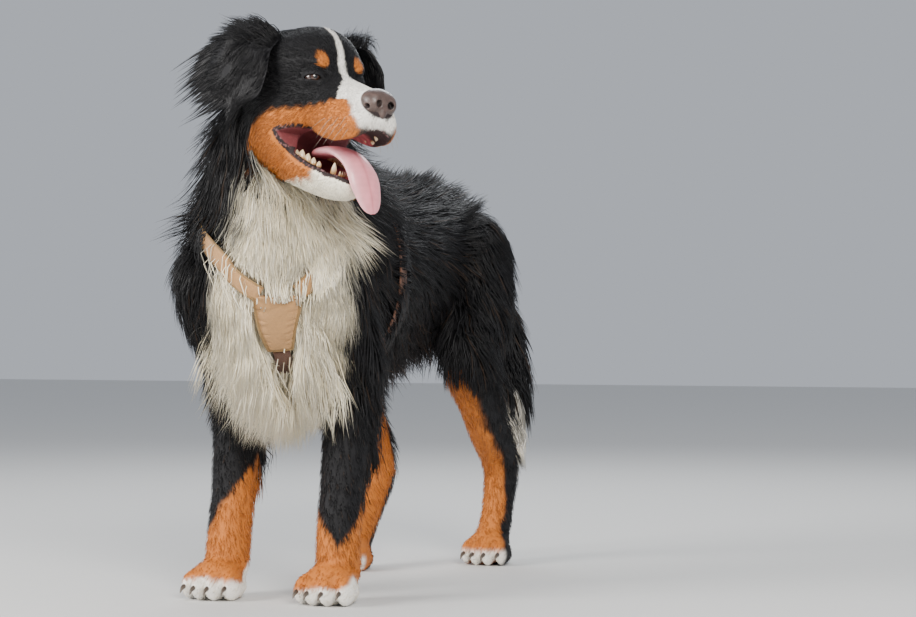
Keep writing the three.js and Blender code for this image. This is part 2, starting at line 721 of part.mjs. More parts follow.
// Hind legs, staggered: the left one set back, the right one stepping under the belly.
const hindPlan = {
  left: { s: 1, stifle: [102, 470, 372], hock: [96, 640, 172], heel: [94, 630, 96], paw: [94, 606] },
  right: { s: -1, stifle: [-104, 418, 384], hock: [-94, 520, 168], heel: [-94, 466, 92], paw: [-94, 424] },
};
const hindSpread = PAW_WIDTH / 4.7;
const hindFields = [];
for (const [side, s] of sides) {
  const leg = hindPlan[side];
  const [stifle, hock, heel] = [vec(leg.stifle), vec(leg.hock), vec(leg.heel)];
  const hip = v(s * 82, 528, 548);
  const thighMiddle = hip.clone().lerp(stifle, 0.55).add(v(s * 3, 22, 0));
  const shankMiddle = stifle.clone().lerp(hock, 0.5);
  const leg3d = limb(
    [
      [hip.x, hip.y, hip.z, 96],
      [thighMiddle.x, thighMiddle.y, thighMiddle.z, 88],
      [stifle.x, stifle.y + 12, stifle.z, 66],
      [shankMiddle.x, shankMiddle.y, shankMiddle.z, 50],
      [hock.x, hock.y, hock.z, 41],
      [heel.x, heel.y, heel.z, 37],
      [heel.x, leg.paw[1], 42, 39],
    ],
    0.78,
  );
  const foot = blend(
    9,
    leg3d,
    ...toes.map((n) => egg([leg.paw[0] + n * hindSpread, leg.paw[1] - toeReach(n), 22], [13.5, 26, 24.5])),
    egg([leg.paw[0], leg.paw[1] - 6, 17], [40, 38, 28]),
    egg([leg.paw[0], leg.paw[1] - 16, 34], [40, 36, 29]),
  );
  const ankle = hock.clone().add(v(0, 0, 16));
  const ankleFacing = hock.clone().sub(shankMiddle).normalize();
  const knee = stifle.clone().add(v(0, 0, -22));
  const kneeFacing = shankMiddle.clone().sub(hip).normalize();
  const beneath = (at, from, far) => at.clone().add(at.clone().sub(from).setLength(far));
  const haunch = [hip, hip.clone().lerp(stifle, 0.6), beneath(stifle, hip, 14)];
  const shin = [beneath(stifle, shankMiddle, 10), shankMiddle, beneath(hock, shankMiddle, 12)];
  const footAt = v(heel.x, leg.paw[1] + 2, 44);
  const metatarsus = [beneath(hock, heel, 12), hock, heel, footAt, footAt.clone().add(v(0, -8, -30))];
  const back = (by, facing) => facing.clone().multiplyScalar(by ? 0 : -GAP);
  const [pawX, pawY] = leg.paw;
  const claws = (by) => toes.map((n) => claw(pawX + n * hindSpread, pawY - toeReach(n) - 24, by));
  node(`hindpaw_${side}`, RUST, 0.8, (by) => {
    const bare = beyond(beyond(skin(foot, metatarsus, 16, 18, 110, by), ankle, ankleFacing), floor, up);
    return claws(by).reduce((made, each) => made.add(each), bare);
  });
  node(`shank_${side}`, BLACK, 0.85, (by) => {
    const bottom = ankle.clone().add(back(by, ankleFacing));
    const above = beyond(skin(foot, shin, 8, 14, 110, by), bottom, ankleFacing.clone().negate());
    return beyond(above, knee, kneeFacing);
  });
  const mid = thighMiddle.toArray();
  const breeches = [
    ...row(foot, 2, [[s * 90, 520, 570], [s * 90, 560, 560]], [[s, -0.6, 0], [s, 0.9, 0]],
      [0, 0.5, -1], 130, 52, 16),
    ...row(foot, 2, [stifle.toArray(), mid], [[s, -0.7, 0], [s, 0.7, 0]], [0, 0.4, -1], 110, 46, 16),
    ...row(foot, 3, [[s * 86, 570, 520], mid], [[0.3 * s, 1, 0], [0, 1, -0.2]], [0, 0.4, -1], 120, 46, 22),
    ...row(foot, 1, [stifle.toArray(), stifle.toArray()], [[0, -1, 0.3], [0, -1, 0.3]],
      [0, 0.1, -1], 90, 44),
  ];
  const overThigh = blend(8, bodyField, foot);
  hindFields.push(foot);
  const haunchNode = (by) => {
    const bottom = knee.clone().add(back(by, kneeFacing));
    const above = beyond(skin(foot, haunch, 10, 14, 140, by), bottom, kneeFacing.clone().negate());
    return beyond(above, v(s * (48 - (by ? GAP : 0)), 0, 0), v(s, 0, 0));
  };
  node(`thigh_${side}`, BLACK, 0.85, haunchNode, breeches, overThigh);
}

// Tail, hanging and swung to the left.
const tailSections = [
  [0, 612, 590, 40],
  [24, 676, 530, 38],
  [64, 706, 430, 40],
  [88, 706, 318, 36],
  [94, 700, 236, 20],
];
const tail = limb(tailSections);
const tailCut = v(72, 706, 400);
const tailFacing = v(0.2, 0, -1).normalize();
const tailWhole = (by) => skin(tail, tailSections.map(vec), 14, 10, 120, by);
const plume = [
  ...row(tail, 2, [[86, 706, 340], [86, 706, 320]], [[1, 0.2, 0], [-1, 0.3, 0]], [0, 0, -1], 100, 38, 14),
  ...row(tail, 3, [[90, 704, 270], [90, 704, 260]], [[-1, -0.4, 0], [1, 0.6, 0]], [0, -0.1, -1], 80, 34, 6),
];
const plumeTop = [
  ...row(tail, 2, [[40, 690, 500], [60, 700, 450]], [[1, 0.4, 0], [-1, 0.4, 0]],
    [0.1, 0.1, -1], 120, 46, 16),
  ...row(tail, 1, [[20, 660, 560], [20, 660, 560]], [[0.2, 1, 0.6], [0.2, 1, 0.6]],
    [0.2, 0.5, -1], 110, 46, 14),
];
node("tail_tip", BLACK, 0.85, (by) => beyond(tailWhole(by), tailCut, tailFacing), plume, tail);
const tailTop = (by) => {
  const bottom = tailCut.clone().addScaledVector(tailFacing, by ? 0 : -GAP);
  return beyond(tailWhole(by), bottom, tailFacing.clone().negate());
};
node("tail_base", BLACK, 0.85, tailTop, plumeTop, blend(8, tail, bodyField));

const nape = blend(40, bodyField, placed(skull, headPose));
const napeInBody = napeAt.clone().addScaledVector(napeFacing, GAP).applyMatrix4(headPose);
const neckSpine = [...neckSections.map(vec), v(96, -122, 800)];
const neckNode = (by) => {
  const behindHead = napeFacing.clone().transformDirection(headPose);
  const below = beyond(skin(nape, neckSpine, 16, 20, 210, by), napeInBody, behindHead);
  return beyond(below, collarAt.clone().addScaledVector(collarFacing, GAP), collarFacing);
};
const ruff = [
  ...row(nape, 2, [[54, -76, 736], [60, -80, 730]], [[-1, -0.1, 0], [-0.6, 1, 0]],
    [-0.3, 0.4, -1], 96, 44, 26),
  ...row(nape, 3, [[40, -60, 690], [44, -60, 690]], [[-1, -0.5, 0], [-0.8, 0.7, 0]],
    [-0.3, 0.2, -1], 104, 46, 28),
  ...row(nape, 2, [[30, -60, 650], [30, -60, 650]], [[-1, -0.7, 0], [-1, 0.1, 0]],
    [-0.2, 0.2, -1], 110, 48, 26),
  ...row(bodyField, 2, [[50, -60, 660], [50, -60, 660]], [[1, -0.4, 0], [1, 0.3, 0]],
    [0.1, 0.2, -1], 110, 46, 20),
  ...row(bodyField, 2, [[40, -60, 640], [50, -60, 640]], [[-0.5, -1, 0], [0.8, -1, 0]],
    [0, -0.05, -1], 110, 46, 22),
  ...row(bodyField, 2, [[0, -60, 590], [20, -60, 590]], [[-0.7, -0.9, 0], [0.2, -1, 0]],
    [0, -0.05, -1], 90, 46, 26),
];
node("neck", BLACK, 0.85, neckNode, ruff, blend(10, nape, chest));

const torsoNode = (by) =>
  beyond(skin(bodyField, trunkSections.map(vec), 18, 20, 300, by), collarAt, collarFacing.clone().negate());
const bib = [
  ...row(bodyField, 3, [[0, -40, 450], [10, -40, 440]], [[-1, -0.6, 0], [-0.1, -1, 0]],
    [0, 0, -1], 110, 44, 14),
  ...row(bodyField, 2, [[60, -40, 450], [60, -40, 430]], [[1, -0.6, 0], [0.8, -1, 0]],
    [0, 0, -1], 100, 40, 14),
  ...row(bodyField, 3, [[0, -50, 420], [30, -50, 420]], [[-0.9, -0.9, -0.4], [0.1, -1, -0.7]],
    [0.1, 0, -1], 160, 48, 12),
  ...row(bodyField, 2, [[60, -50, 420], [60, -50, 420]], [[0.6, -1, -0.6], [0.9, -0.8, -0.4]],
    [0.1, 0, -1], 136, 46, 12),
];
const backRow = (x) => {
  const aim = [x, 0, 1];
  return row(bodyField, 3, [[0, 180, 560], [0, 580, 560]], [aim, aim], [x / 2, 1, 0], 120, 52, 14);
};
const flank = (s) => [
  ...row(bodyField, 2, [[0, 210, 520], [0, 420, 520]], [[s, 0, -0.5], [s, 0, -0.5]],
    [0, 0.7, -0.8], 120, 56, 14),
  ...row(bodyField, 4, [[0, 60, 500], [0, 430, 500]], [[s * 0.5, 0, -1], [s * 0.5, 0, -1]],
    [0, 0.45, -1], 96, 46, 10),
];
const coat = [...bib, ...backRow(0.3), ...backRow(-0.3), ...flank(1), ...flank(-1)];
node("torso", BLACK, 0.85, torsoNode, coat, blend(8, chest, tail, ...hindFields));

// Each node gives way to those before it, with a small gap, and keeps its one main body.
const dog = new THREE.Group();
nodes.forEach((n, i) => {
  const made = largest(nodes.slice(0, i).reduce((a, other) => a.subtract(other.clear), n.base));
  const look = new THREE.MeshStandardMaterial({ color: n.colour, roughness: n.roughness, metalness: 0 });
  const mesh = new THREE.Mesh(geometryOf(made), look);
  mesh.name = n.name;
  dog.add(mesh);
});
dog.position.set(-MIDDLE[0], -MIDDLE[1], 0);

export default dog;
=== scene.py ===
import math

import bpy
import numpy as np
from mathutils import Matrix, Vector, kdtree


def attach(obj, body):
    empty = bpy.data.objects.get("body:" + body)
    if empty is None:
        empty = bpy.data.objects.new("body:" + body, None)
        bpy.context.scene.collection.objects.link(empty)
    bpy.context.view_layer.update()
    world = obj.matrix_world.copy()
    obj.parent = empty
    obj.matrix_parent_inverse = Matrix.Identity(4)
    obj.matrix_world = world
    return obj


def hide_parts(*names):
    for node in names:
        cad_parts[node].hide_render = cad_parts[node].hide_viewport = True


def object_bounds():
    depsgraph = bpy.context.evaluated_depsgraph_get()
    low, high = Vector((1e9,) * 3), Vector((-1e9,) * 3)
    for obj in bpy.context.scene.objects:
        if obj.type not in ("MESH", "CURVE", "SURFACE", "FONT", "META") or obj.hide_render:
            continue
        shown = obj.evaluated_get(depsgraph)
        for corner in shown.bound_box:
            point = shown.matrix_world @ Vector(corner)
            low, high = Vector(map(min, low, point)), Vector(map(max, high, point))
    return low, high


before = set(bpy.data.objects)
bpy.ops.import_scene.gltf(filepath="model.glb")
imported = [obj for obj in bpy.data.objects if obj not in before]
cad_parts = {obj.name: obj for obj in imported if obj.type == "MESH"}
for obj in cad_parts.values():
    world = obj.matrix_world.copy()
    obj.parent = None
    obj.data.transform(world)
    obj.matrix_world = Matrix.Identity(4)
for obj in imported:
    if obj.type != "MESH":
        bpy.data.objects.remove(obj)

cad_box = [list(corner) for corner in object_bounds()]

# Skin. A dog's skin is thin and loose over the muscle, and it carries the coat. It grew as one
# piece from the nose to the tail, with folds at the lids and lips. Here it is meshed from round forms
# that are run into one another, some millimetres inside the coat.

MIDDLE = np.array([55.0, 250.0, 0.0])  # the row's origin in the dog's frame, millimetres
HEAD_AT = np.array([108.0, -140.0, 778.0])  # between the eyes and the ears
HEAD_TURN, HEAD_NOD, HEAD_TILT = (math.radians(a) for a in (64, 2, 4))
JAW_DROP = math.radians(18)
WITHERS = 680.0
BOTH = (1, -1)


def unit(a):
    return a / np.maximum(np.linalg.norm(a, axis=-1, keepdims=True), 1e-9)


def mix(a, b, share):
    return a + (b - a) * share


def rise(a, b, x):
    """0 below a, 1 above b, eased between."""
    share = np.clip((x - a) / (b - a), 0, 1)
    return share * share * (3 - 2 * share)


def turned(axis, angle):
    c, s = math.cos(angle), math.sin(angle)
    i, j = {"x": (1, 2), "y": (2, 0), "z": (0, 1)}[axis]
    m = np.eye(3)
    m[i, i], m[j, j], m[i, j], m[j, i] = c, c, -s, s
    return m


HEAD_AXES = turned("z", HEAD_TURN) @ turned("x", HEAD_NOD) @ turned("y", HEAD_TILT)


def into_head(q):
    return (q - HEAD_AT) @ HEAD_AXES


def out_of_head(q):
    return q @ HEAD_AXES.T + HEAD_AT


def smooth_line(knots, steps):
    """Points on a smooth line through the knots, with steps to each span."""
    knots = np.array(knots, float)
    k = np.vstack([2 * knots[0] - knots[1], knots, 2 * knots[-1] - knots[-2]])
    t = np.arange(steps)[:, None] / steps
    spans = []
    for i in range(1, len(k) - 2):
        a, b, c, d = k[i - 1 : i + 3]
        u, v, w = (max(math.sqrt(np.linalg.norm(q - p)), 1e-4) for p, q in ((a, b), (b, c), (c, d)))
        m = ((b - a) / u - (c - a) / (u + v) + (c - b) / v) * v
        n = ((c - b) / v - (d - b) / (v + w) + (d - c) / w) * v
        spans.append(b + m * t + (3 * (c - b) - 2 * m - n) * t**2 + (2 * (b - c) + m + n) * t**3)
    return np.vstack(spans + [knots[-1:]])


class Limb:
    """A chain of round sections [x, y, z, radius], narrowed sideways by flat."""

    def __init__(self, sections, flat=1.0):
        s = np.array(sections, float)
        self.flat = flat
        self.line = smooth_line(s[:, :3], 4)
        place = np.linspace(0, len(s) - 1, len(self.line))
        k = np.minimum(place.astype(int), len(s) - 2)
        f = place - k
        self.radius = mix(s[k, 3], s[k + 1, 3], (f + f * f * (3 - 2 * f)) / 2)
        self.low = (self.line - self.radius[:, None]).min(0)
        self.high = (self.line + self.radius[:, None]).max(0)

    def measure(self, q):
        """Distance from the surface, share of the length, and angle about the line."""
        squash = np.array([1 / self.flat, 1, 1])
        best = np.full(len(q), 1e9)
        share = np.zeros(len(q))
        angle = np.zeros(len(q))
        count = len(self.line) - 1
        for i in range(count):
            a = self.line[i]
            b = (self.line[i + 1] - a) * squash
            p = (q - a) * squash
            t = np.clip(p @ b / (b @ b), 0, 1)
            off = p - t[:, None] * b
            d = np.linalg.norm(off, axis=1) - mix(self.radius[i], self.radius[i + 1], t)
            closer = d < best
            best[closer] = d[closer]
            share[closer] = (i + t[closer]) / count
            along = unit(b)
            across = unit(np.cross(along, (0.0, 0.3, 1.0) if abs(along[2]) < 0.7 else (0.0, 1.0, 0.3)))
            up = np.cross(across, along)
            angle[closer] = np.arctan2(off[closer] @ across, off[closer] @ up)
        return best * min(1, self.flat), share, angle

    def __call__(self, q):
        apart = np.linalg.norm(np.maximum(np.maximum(self.low - q, q - self.high), 0), axis=1)
        d = apart + 2.0
        near = apart < 90
        if near.any():
            d[near] = self.measure(q[near])[0]
        return d


def egg(centre, radii):
    centre, radii = np.array(centre, float), np.array(radii, float)

    def field(q):
        p = (q - centre) / radii
        k0 = np.linalg.norm(p, axis=1)
        k1 = np.maximum(np.linalg.norm(p / radii, axis=1), 1e-9)
        return k0 * (k0 - 1) / k1

    return field


def joined(k, a, b):
    """a and b as one form, each given as values, run into one another over a width of about k."""
    h = np.maximum(k - np.abs(a - b), 0) / k
    return np.minimum(a, b) - h * h * k / 4


def blend(k, *fields):
    """Forms run into one another over a width of about k."""

    def field(q):
        a = fields[0](q)
        for other in fields[1:]:
            a = joined(k, a, other(q))
        return a

    return field


def carve(k, a, b):
    """a without b, each given as values, with edges rounded over k."""
    h = np.maximum(k - np.abs(a + b), 0) / k
    return np.maximum(a, -b) + h * h * k / 4


def outward(field, q, e=0.6):
    here = field(q)
    steps = [field(q + e * np.eye(3)[i]) - here for i in range(3)]
    return unit(np.stack(steps, axis=1)), here


trunk = Limb(
    [
        [32, -88, 506, 94],
        [14, -6, 506, 161],
        [0, 150, 510, 159],
        [0, 330, 540, 143],
        [0, 500, 552, 138],
        [0, 592, 552, 98],
    ],
    0.84,
)
neck = Limb([[10, 30, 570, 130], [17, -40, 650, 125], [48, -84, 724, 107], [84, -100, 772, 74]], 0.95)
tail = Limb(
    [
        [0, 612, 590, 40],
        [24, 676, 530, 38],
        [64, 706, 430, 40],
        [88, 706, 318, 36],
        [94, 700, 236, 20],
    ]
)
ELBOW = 0.53 * WITHERS
FORE_X = 96.0
TOES = (-1.5, -0.5, 0.5, 1.5)
FORE_SPREAD, HIND_SPREAD = 24.2, 22.1  # from toe to toe


def toe_reach(n):
    """How far a toe's middle stands before the middle of its foot."""
    return 44 if abs(n) < 1 else 32


def paw(x, y, spread, size):
    """Toes, pads and knuckles of a foot whose middle stands at x, y."""
    toes = [egg([x + n * spread, y - toe_reach(n), 22], [14 * size, 28 * size, 25]) for n in TOES]
    pads = egg([x, y - 5, 18], [44 * size, 40 * size, 28])
    knuckles = egg([x, y - 18, 35], [43 * size, 38 * size, 30])
    return [*toes, pads, knuckles]


fore_paw_y = {1: -16.0, -1: -26.0}
foreleg = {
    s: Limb(
        [
            [s * 88, 44, 586, 62],
            [s * 106, -52, 494, 70],
            [s * 102, 30, ELBOW + 16, 62],
            [s * 98, 26, 270, 48],
            [s * FORE_X, 6, 160, 40],
            [s * FORE_X, -2, 112, 41],
            [s * FORE_X, fore_paw_y[s] + 14, 50, 42],
        ],
        0.86,
    )
    for s in BOTH
}
forefoot = {s: blend(9, foreleg[s], *paw(s * FORE_X, fore_paw_y[s], FORE_SPREAD, 1.0)) for s in BOTH}
hind_plan = {
    1: ([102, 470, 372], [96, 640, 172], [94, 630, 96], [94, 606]),
    -1: ([-104, 418, 384], [-94, 520, 168], [-94, 466, 92], [-94, 424]),
}
hindleg, hindfoot = {}, {}
for s in BOTH:
    stifle, hock, heel, foot_at = (np.array(p, float) for p in hind_plan[s])
    hip = np.array([s * 82.0, 528, 548])
    thigh = mix(hip, stifle, 0.55) + (s * 3, 22, 0)
    hindleg[s] = Limb(
        [
            [*hip, 96],
            [*thigh, 88],
            [stifle[0], stifle[1] + 12, stifle[2], 66],
            [*mix(stifle, hock, 0.5), 50],
            [*hock, 41],
            [*heel, 37],
            [heel[0], foot_at[1], 42, 39],
        ],
        0.78,
    )
    hindfoot[s] = blend(9, hindleg[s], *paw(foot_at[0], foot_at[1], HIND_SPREAD, 0.93))

body = blend(60, trunk, neck)
legs = [forefoot[1], forefoot[-1], hindfoot[1], hindfoot[-1]]
core = blend(14, body, *legs, tail)


DENSE_COAT = 13.5  # the depth of the trunk's dense coat over the skin


def coat_depth(q):
    """Depth of the dense coat under which the skin lies, millimetres."""
    depth = mix(3.5, DENSE_COAT, rise(190, 420, q[:, 2]))
    behind = (q[:, 1] > 648) & (q[:, 2] > 200)
    return np.where(behind, 9.0, depth)


# The head's forms, in its own frame: the eyes are at the level z = 0 and the nose points along -y.
EYE_RADIUS = 12.5
eye_at = {s: np.array([s * 38.0, -75.0, 4.0]) for s in BOTH}
muzzle = Limb([[0, -62, -28, 50], [0, -112, -40, 44], [0, -150, -46, 38], [0, -164, -49, 35]])
skull = blend(
    28,
    egg([0, 12, 14], [79, 92, 72]),
    egg([0, -38, 26], [61, 51, 56]),
    *(egg([s * 42, -2, -48], [36, 58, 52]) for s in BOTH),
    *(egg([s * 32, 8, -86], [34, 50, 40]) for s in BOTH),
)
face = blend(
    12,
    blend(20, skull, muzzle),
    *(egg([s * 31, -72, 27], [20, 19, 13]) for s in BOTH),
    *(egg([s * 30, -126, -66], [19, 52, 29]) for s in BOTH),
    *(egg([s * 22, -164, -66], [20, 27, 28]) for s in BOTH),
)
LIPS = [(-34, -76), (-56, -68), (-84, -74), (-112, -85), (-140, -93), (-170, -95), (-192, -88), (-240, -84)]
LIPS += [(-240, -240), (-70, -240), (-52, -128)]
cave = Limb([[0, -44, -98, 33], [0, -95, -110, 43], [0, -150, -112, 41], [0, -186, -112, 38]], 0.96)
jaw_form = Limb(
    [
        [0, -18, -98, 38],
        [0, -74, -102, 36],
        [0, -109, -104, 32],
        [0, -137, -104, 27],
        [0, -150, -103, 22],
    ],
    1.28,
)
jaw_trough = Limb([[0, -10, -62, 34], [0, -80, -78, 30], [0, -130, -86, 22], [0, -152, -88, 14]], 1.3)
HINGE = np.array([0.0, 5.0, -50.0])
JAW_AXES = turned("x", JAW_DROP)


def into_jaw(q):
    return (q - HINGE) @ JAW_AXES + HINGE


def out_of_jaw(q):
    return (q - HINGE) @ JAW_AXES.T + HINGE


def gape(q):
    """The gap between the lips, seen from the side."""
    p = q[:, 1:]
    inside = np.zeros(len(p), bool)
    nearest = np.full(len(p), 1e9)
    for a, b in zip(LIPS, LIPS[1:] + LIPS[:1]):
        a, b = np.array(a, float), np.array(b, float)
        t = np.clip((p - a) @ (b - a) / ((b - a) @ (b - a)), 0, 1)
        nearest = np.minimum(nearest, np.linalg.norm(p - a - t[:, None] * (b - a), axis=1))
        crosses = (a[1] > p[:, 1]) != (b[1] > p[:, 1])
        level = np.where(crosses, (p[:, 1] - a[1]) / (b[1] - a[1] if b[1] != a[1] else 1), 0)
        inside ^= crosses & (p[:, 0] < a[0] + level * (b[0] - a[0]))
    return np.where(inside, -nearest, nearest)


def into_slit(q, s):
    """From the head's frame to that of the slit between the lids: x runs along it, -y out of it."""
    return (q - np.array([s * 45.0, -87.0, 3.0])) @ turned("z", s * math.radians(30))


def lids(q, s):
    """A shell over the eye with a slit in it."""
    from_eye = np.linalg.norm(q - eye_at[s], axis=1)
    shell = np.maximum(from_eye - EYE_RADIUS - 3.0, EYE_RADIUS + 0.3 - from_eye)
    p = into_slit(q, s)
    width, height = 13.5, 3.7
    slit = np.abs(p[:, 0]) / width
    opening = np.abs(p[:, 2] + 0.9 * slit**2) - height * np.sqrt(np.maximum(1 - slit**2, 0))
    opening = np.where(slit < 1, opening, height * (slit - 1) + 2)
    return carve(1.2, shell, np.maximum(opening, p[:, 1] - 30)), from_eye


def head_skin(q):
    """The skin of the head, in its own frame."""
    outer = face(q) + mix(1.5, 6.0, rise(-40, 70, q[:, 1]))
    for s in BOTH:
        lid, from_eye = lids(q, s)
        socket = from_eye - EYE_RADIUS - 1.2
        outer = carve(3, outer, socket)
        outer = joined(4, outer, lid)
        fold = np.abs(from_eye - EYE_RADIUS - 7.5) + 6 * (q[:, 2] < 6)
        outer = outer + 1.3 * np.exp(-((fold / 1.8) ** 2)) * (from_eye < 26)
    mouth = np.minimum(gape(q), cave(q))
    upper = carve(5, outer, mouth)
    in_jaw = into_jaw(q)
    lower = carve(5, jaw_form(in_jaw) + 1.5, jaw_trough(in_jaw))
    lower = np.maximum(lower, -150 - q[:, 1])
    return joined(7, upper, lower)


NAPE_AT = np.array([0.0, 46, -10])
NAPE_WAY = unit(np.array([0.0, 0.94, -0.34]))


def head_part(q):
    """The head's skin down to a cut in the neck, in its own frame."""
    collar = neck(out_of_head(q)) + 16
    own = head_skin(q)
    h = np.maximum(24 - np.abs(own - collar), 0) / 24
    whole = np.minimum(own, np.maximum(collar, 20 - q[:, 1])) - h * h * 6 * (q[:, 1] > 10)
    return np.maximum(whole, (q - NAPE_AT) @ NAPE_WAY - 40)


def body_part(q):
    return core(q) + coat_depth(q)


def netted(field, low, high, step):
    """A closed mesh of quads where a field is 0: a coarse grid is refined only near the surface."""
    shape = [int(math.ceil((b - a) / step / 8)) * 8 + 1 for a, b in zip(low, high)]
    low = np.array(low, float)
    value = np.full(shape, np.nan, np.float32)
    axes = [np.arange(0, n, 8) for n in shape]
    nodes = np.stack(np.meshgrid(*axes, indexing="ij"), -1).reshape(-1, 3)
    for stride in (8, 4, 2, 1):
        d = field(low + nodes * step)
        if stride == 1:
            value[nodes[:, 0], nodes[:, 1], nodes[:, 2]] = d
            break
        close = nodes[np.abs(d) < (1.2 if stride == 2 else 1.9) * stride * step]
        half = stride // 2
        offsets = np.stack(np.meshgrid(*[[-half, 0, half]] * 3, indexing="ij"), -1).reshape(-1, 3)
        marked = np.zeros(shape, bool)
        for off in offsets:
            spot = np.clip(close + off, 0, np.array(shape) - 1)
            marked[spot[:, 0], spot[:, 1], spot[:, 2]] = True
        nodes = np.argwhere(marked)
    corners = [(i, j, k) for i in (0, 1) for j in (0, 1) for k in (0, 1)]
    n0, n1, n2 = (n - 1 for n in shape)
    whole = [value[i : i + n0, j : j + n1, k : k + n2] for i, j, k in corners]
    below = sum((w < 0).astype(np.int8) for w in whole)
    known = ~np.isnan(sum(whole))
    cells = np.argwhere(known & (below > 0) & (below < 8))
    at = [value[cells[:, 0] + i, cells[:, 1] + j, cells[:, 2] + k] for i, j, k in corners]
    total, count = np.zeros((len(cells), 3)), np.zeros(len(cells))
    for a, p in enumerate(corners):
        for b, q in enumerate(corners):
            if b > a and sum(abs(x - y) for x, y in zip(p, q)) == 1:
                crossing = (at[a] < 0) != (at[b] < 0)
                gap = np.where(crossing, at[a] - at[b], 1)
                share = np.where(crossing, at[a] / gap, 0)
                spot = np.array(p, float) + share[:, None] * (np.array(q, float) - np.array(p, float))
                total += spot * crossing[:, None]
                count += crossing
    points = low + (cells + total / count[:, None]) * step
    number = np.full((n0, n1, n2), -1, np.int32)
    number[cells[:, 0], cells[:, 1], cells[:, 2]] = np.arange(len(cells))
    quads = []
    for axis in range(3):
        u, v = (axis + 1) % 3, (axis + 2) % 3
        ahead = np.eye(3, dtype=int)
        start = cells[(cells[:, u] > 0) & (cells[:, v] > 0)]
        a = value[start[:, 0], start[:, 1], start[:, 2]]
        end = start + ahead[axis]
        b = value[end[:, 0], end[:, 1], end[:, 2]]
        crossing = ((a < 0) != (b < 0)) & ~np.isnan(a) & ~np.isnan(b)
        start, inner = start[crossing], a[crossing] < 0
        around = [start, start - ahead[u], start - ahead[u] - ahead[v], start - ahead[v]]
        face_of = np.stack([number[c[:, 0], c[:, 1], c[:, 2]] for c in around], 1)
        face_of[~inner] = face_of[~inner][:, ::-1]
        quads.append(face_of[(face_of >= 0).all(1)])
    way, d = outward(field, points, step * 0.3)
    return points - way * np.clip(d, -step, step)[:, None] * 0.9, np.vstack(quads)


# Ears: each is a leaf between a front and a back edge, root first, in the head's frame.
ear_plan = {
    1: (
        [[52, -12, 66], [84, -38, 64], [98, -56, 34], [104, -60, 6], [108, -40, -32]],
        [[52, 44, 66], [90, 40, 64], [106, 34, 34], [110, 20, 0], [110, -10, -34]],
    ),
    -1: (
        [[-52, -10, 66], [-80, -24, 40], [-92, -34, 4], [-98, -28, -26], [-104, 8, -42]],
        [[-50, 46, 68], [-84, 80, 66], [-104, 90, 30], [-110, 76, -8], [-108, 36, -40]],
    ),
}


def ear_point(s, t, w, side):
    """A point on an ear: t from root to tip, w from front edge to back edge, side 1 out and -1 in."""
    fore, aft = (smooth_line(edge, 16) for edge in ear_plan[s])
    place = np.clip(t, 0, 1) * (len(fore) - 1)
    k = np.minimum(place.astype(int), len(fore) - 2)
    f = (place - k)[:, None]
    p = mix(mix(fore[k], fore[k + 1], f), mix(aft[k], aft[k + 1], f), w[:, None])
    out = unit(np.array([s, 0, 0.25]))
    edge = np.sqrt(np.maximum(0, 1 - (2 * t - 1) ** 6)) * np.sqrt(np.maximum(0, 1 - (2 * w - 1) ** 4))
    thick = mix(6.0, 2.5, t) * edge
    return p + out * (44 * w * (1 - w) * (1 - t) + side * thick)[:, None]


def pairs(one, other):
    """Every pair of two rows of values, as two flat arrays."""
    return [values.ravel() for values in np.meshgrid(one, other, indexing="ij")]


def sheet_of_quads(rows, columns):
    i, j = pairs(np.arange(rows - 1), np.arange(columns - 1))
    a = i * columns + j
    return np.stack([a, a + 1, a + columns + 1, a + columns], 1)


def ear_mesh(s, rows=44, columns=36):
    t, w = pairs(np.linspace(0.0, 0.995, rows), np.linspace(0, 1, columns))
    points = np.vstack([ear_point(s, t, w, 1), ear_point(s, t, w, -1)])
    outer = sheet_of_quads(rows, columns)
    inner = outer[:, ::-1] + rows * columns
    quads = np.vstack([outer, inner])
    return points, quads if s > 0 else quads[:, ::-1]


def from_dog(points):
    """Millimetres in the dog's frame to metres in the row's."""
    return (points - MIDDLE) * 0.001


def put(name, points, faces, material, slot, replaced=(), smooth=True):
    """A mesh object that rides on the body. points are in the dog's frame, millimetres."""
    mesh = bpy.data.meshes.new(name)
    faces = np.asarray(faces, np.int32)
    corners = faces.shape[1]
    mesh.vertices.add(len(points))
    mesh.vertices.foreach_set("co", from_dog(points).astype(np.float32).ravel())
    mesh.loops.add(faces.size)
    mesh.loops.foreach_set("vertex_index", faces.ravel())
    mesh.polygons.add(len(faces))
    mesh.polygons.foreach_set("loop_start", np.arange(0, faces.size, corners, dtype=np.int32))
    mesh.polygons.foreach_set("loop_total", np.full(len(faces), corners, np.int32))
    mesh.update(calc_edges=True)
    mesh.polygons.foreach_set("use_smooth", np.full(len(faces), smooth))
    thing = bpy.data.objects.new(name, mesh)
    bpy.context.collection.objects.link(thing)
    mesh.materials.append(material)
    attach(thing, "root")
    if replaced:
        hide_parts(*replaced)
    return thing


def paint(thing, colours):
    """A colour for each point, kept with the mesh."""
    layer = thing.data.color_attributes.new("Markings_and_shade", "FLOAT_COLOR", "POINT")
    rgba = np.ones((len(colours), 4), np.float32)
    rgba[:, :3] = colours
    layer.data.foreach_set("color", rgba.ravel())


# Markings, as colours in linear light. The same functions colour the skin and the coat over it.
BLACK = np.array([0.0062, 0.0060, 0.0072])
RUST = np.array([0.50, 0.155, 0.025])
CREAM = np.array([0.95, 0.885, 0.72])
WHITE = np.array([0.92, 0.89, 0.83])
LIP = np.array([0.022, 0.014, 0.014])
GUM = np.array([0.45, 0.10, 0.11])
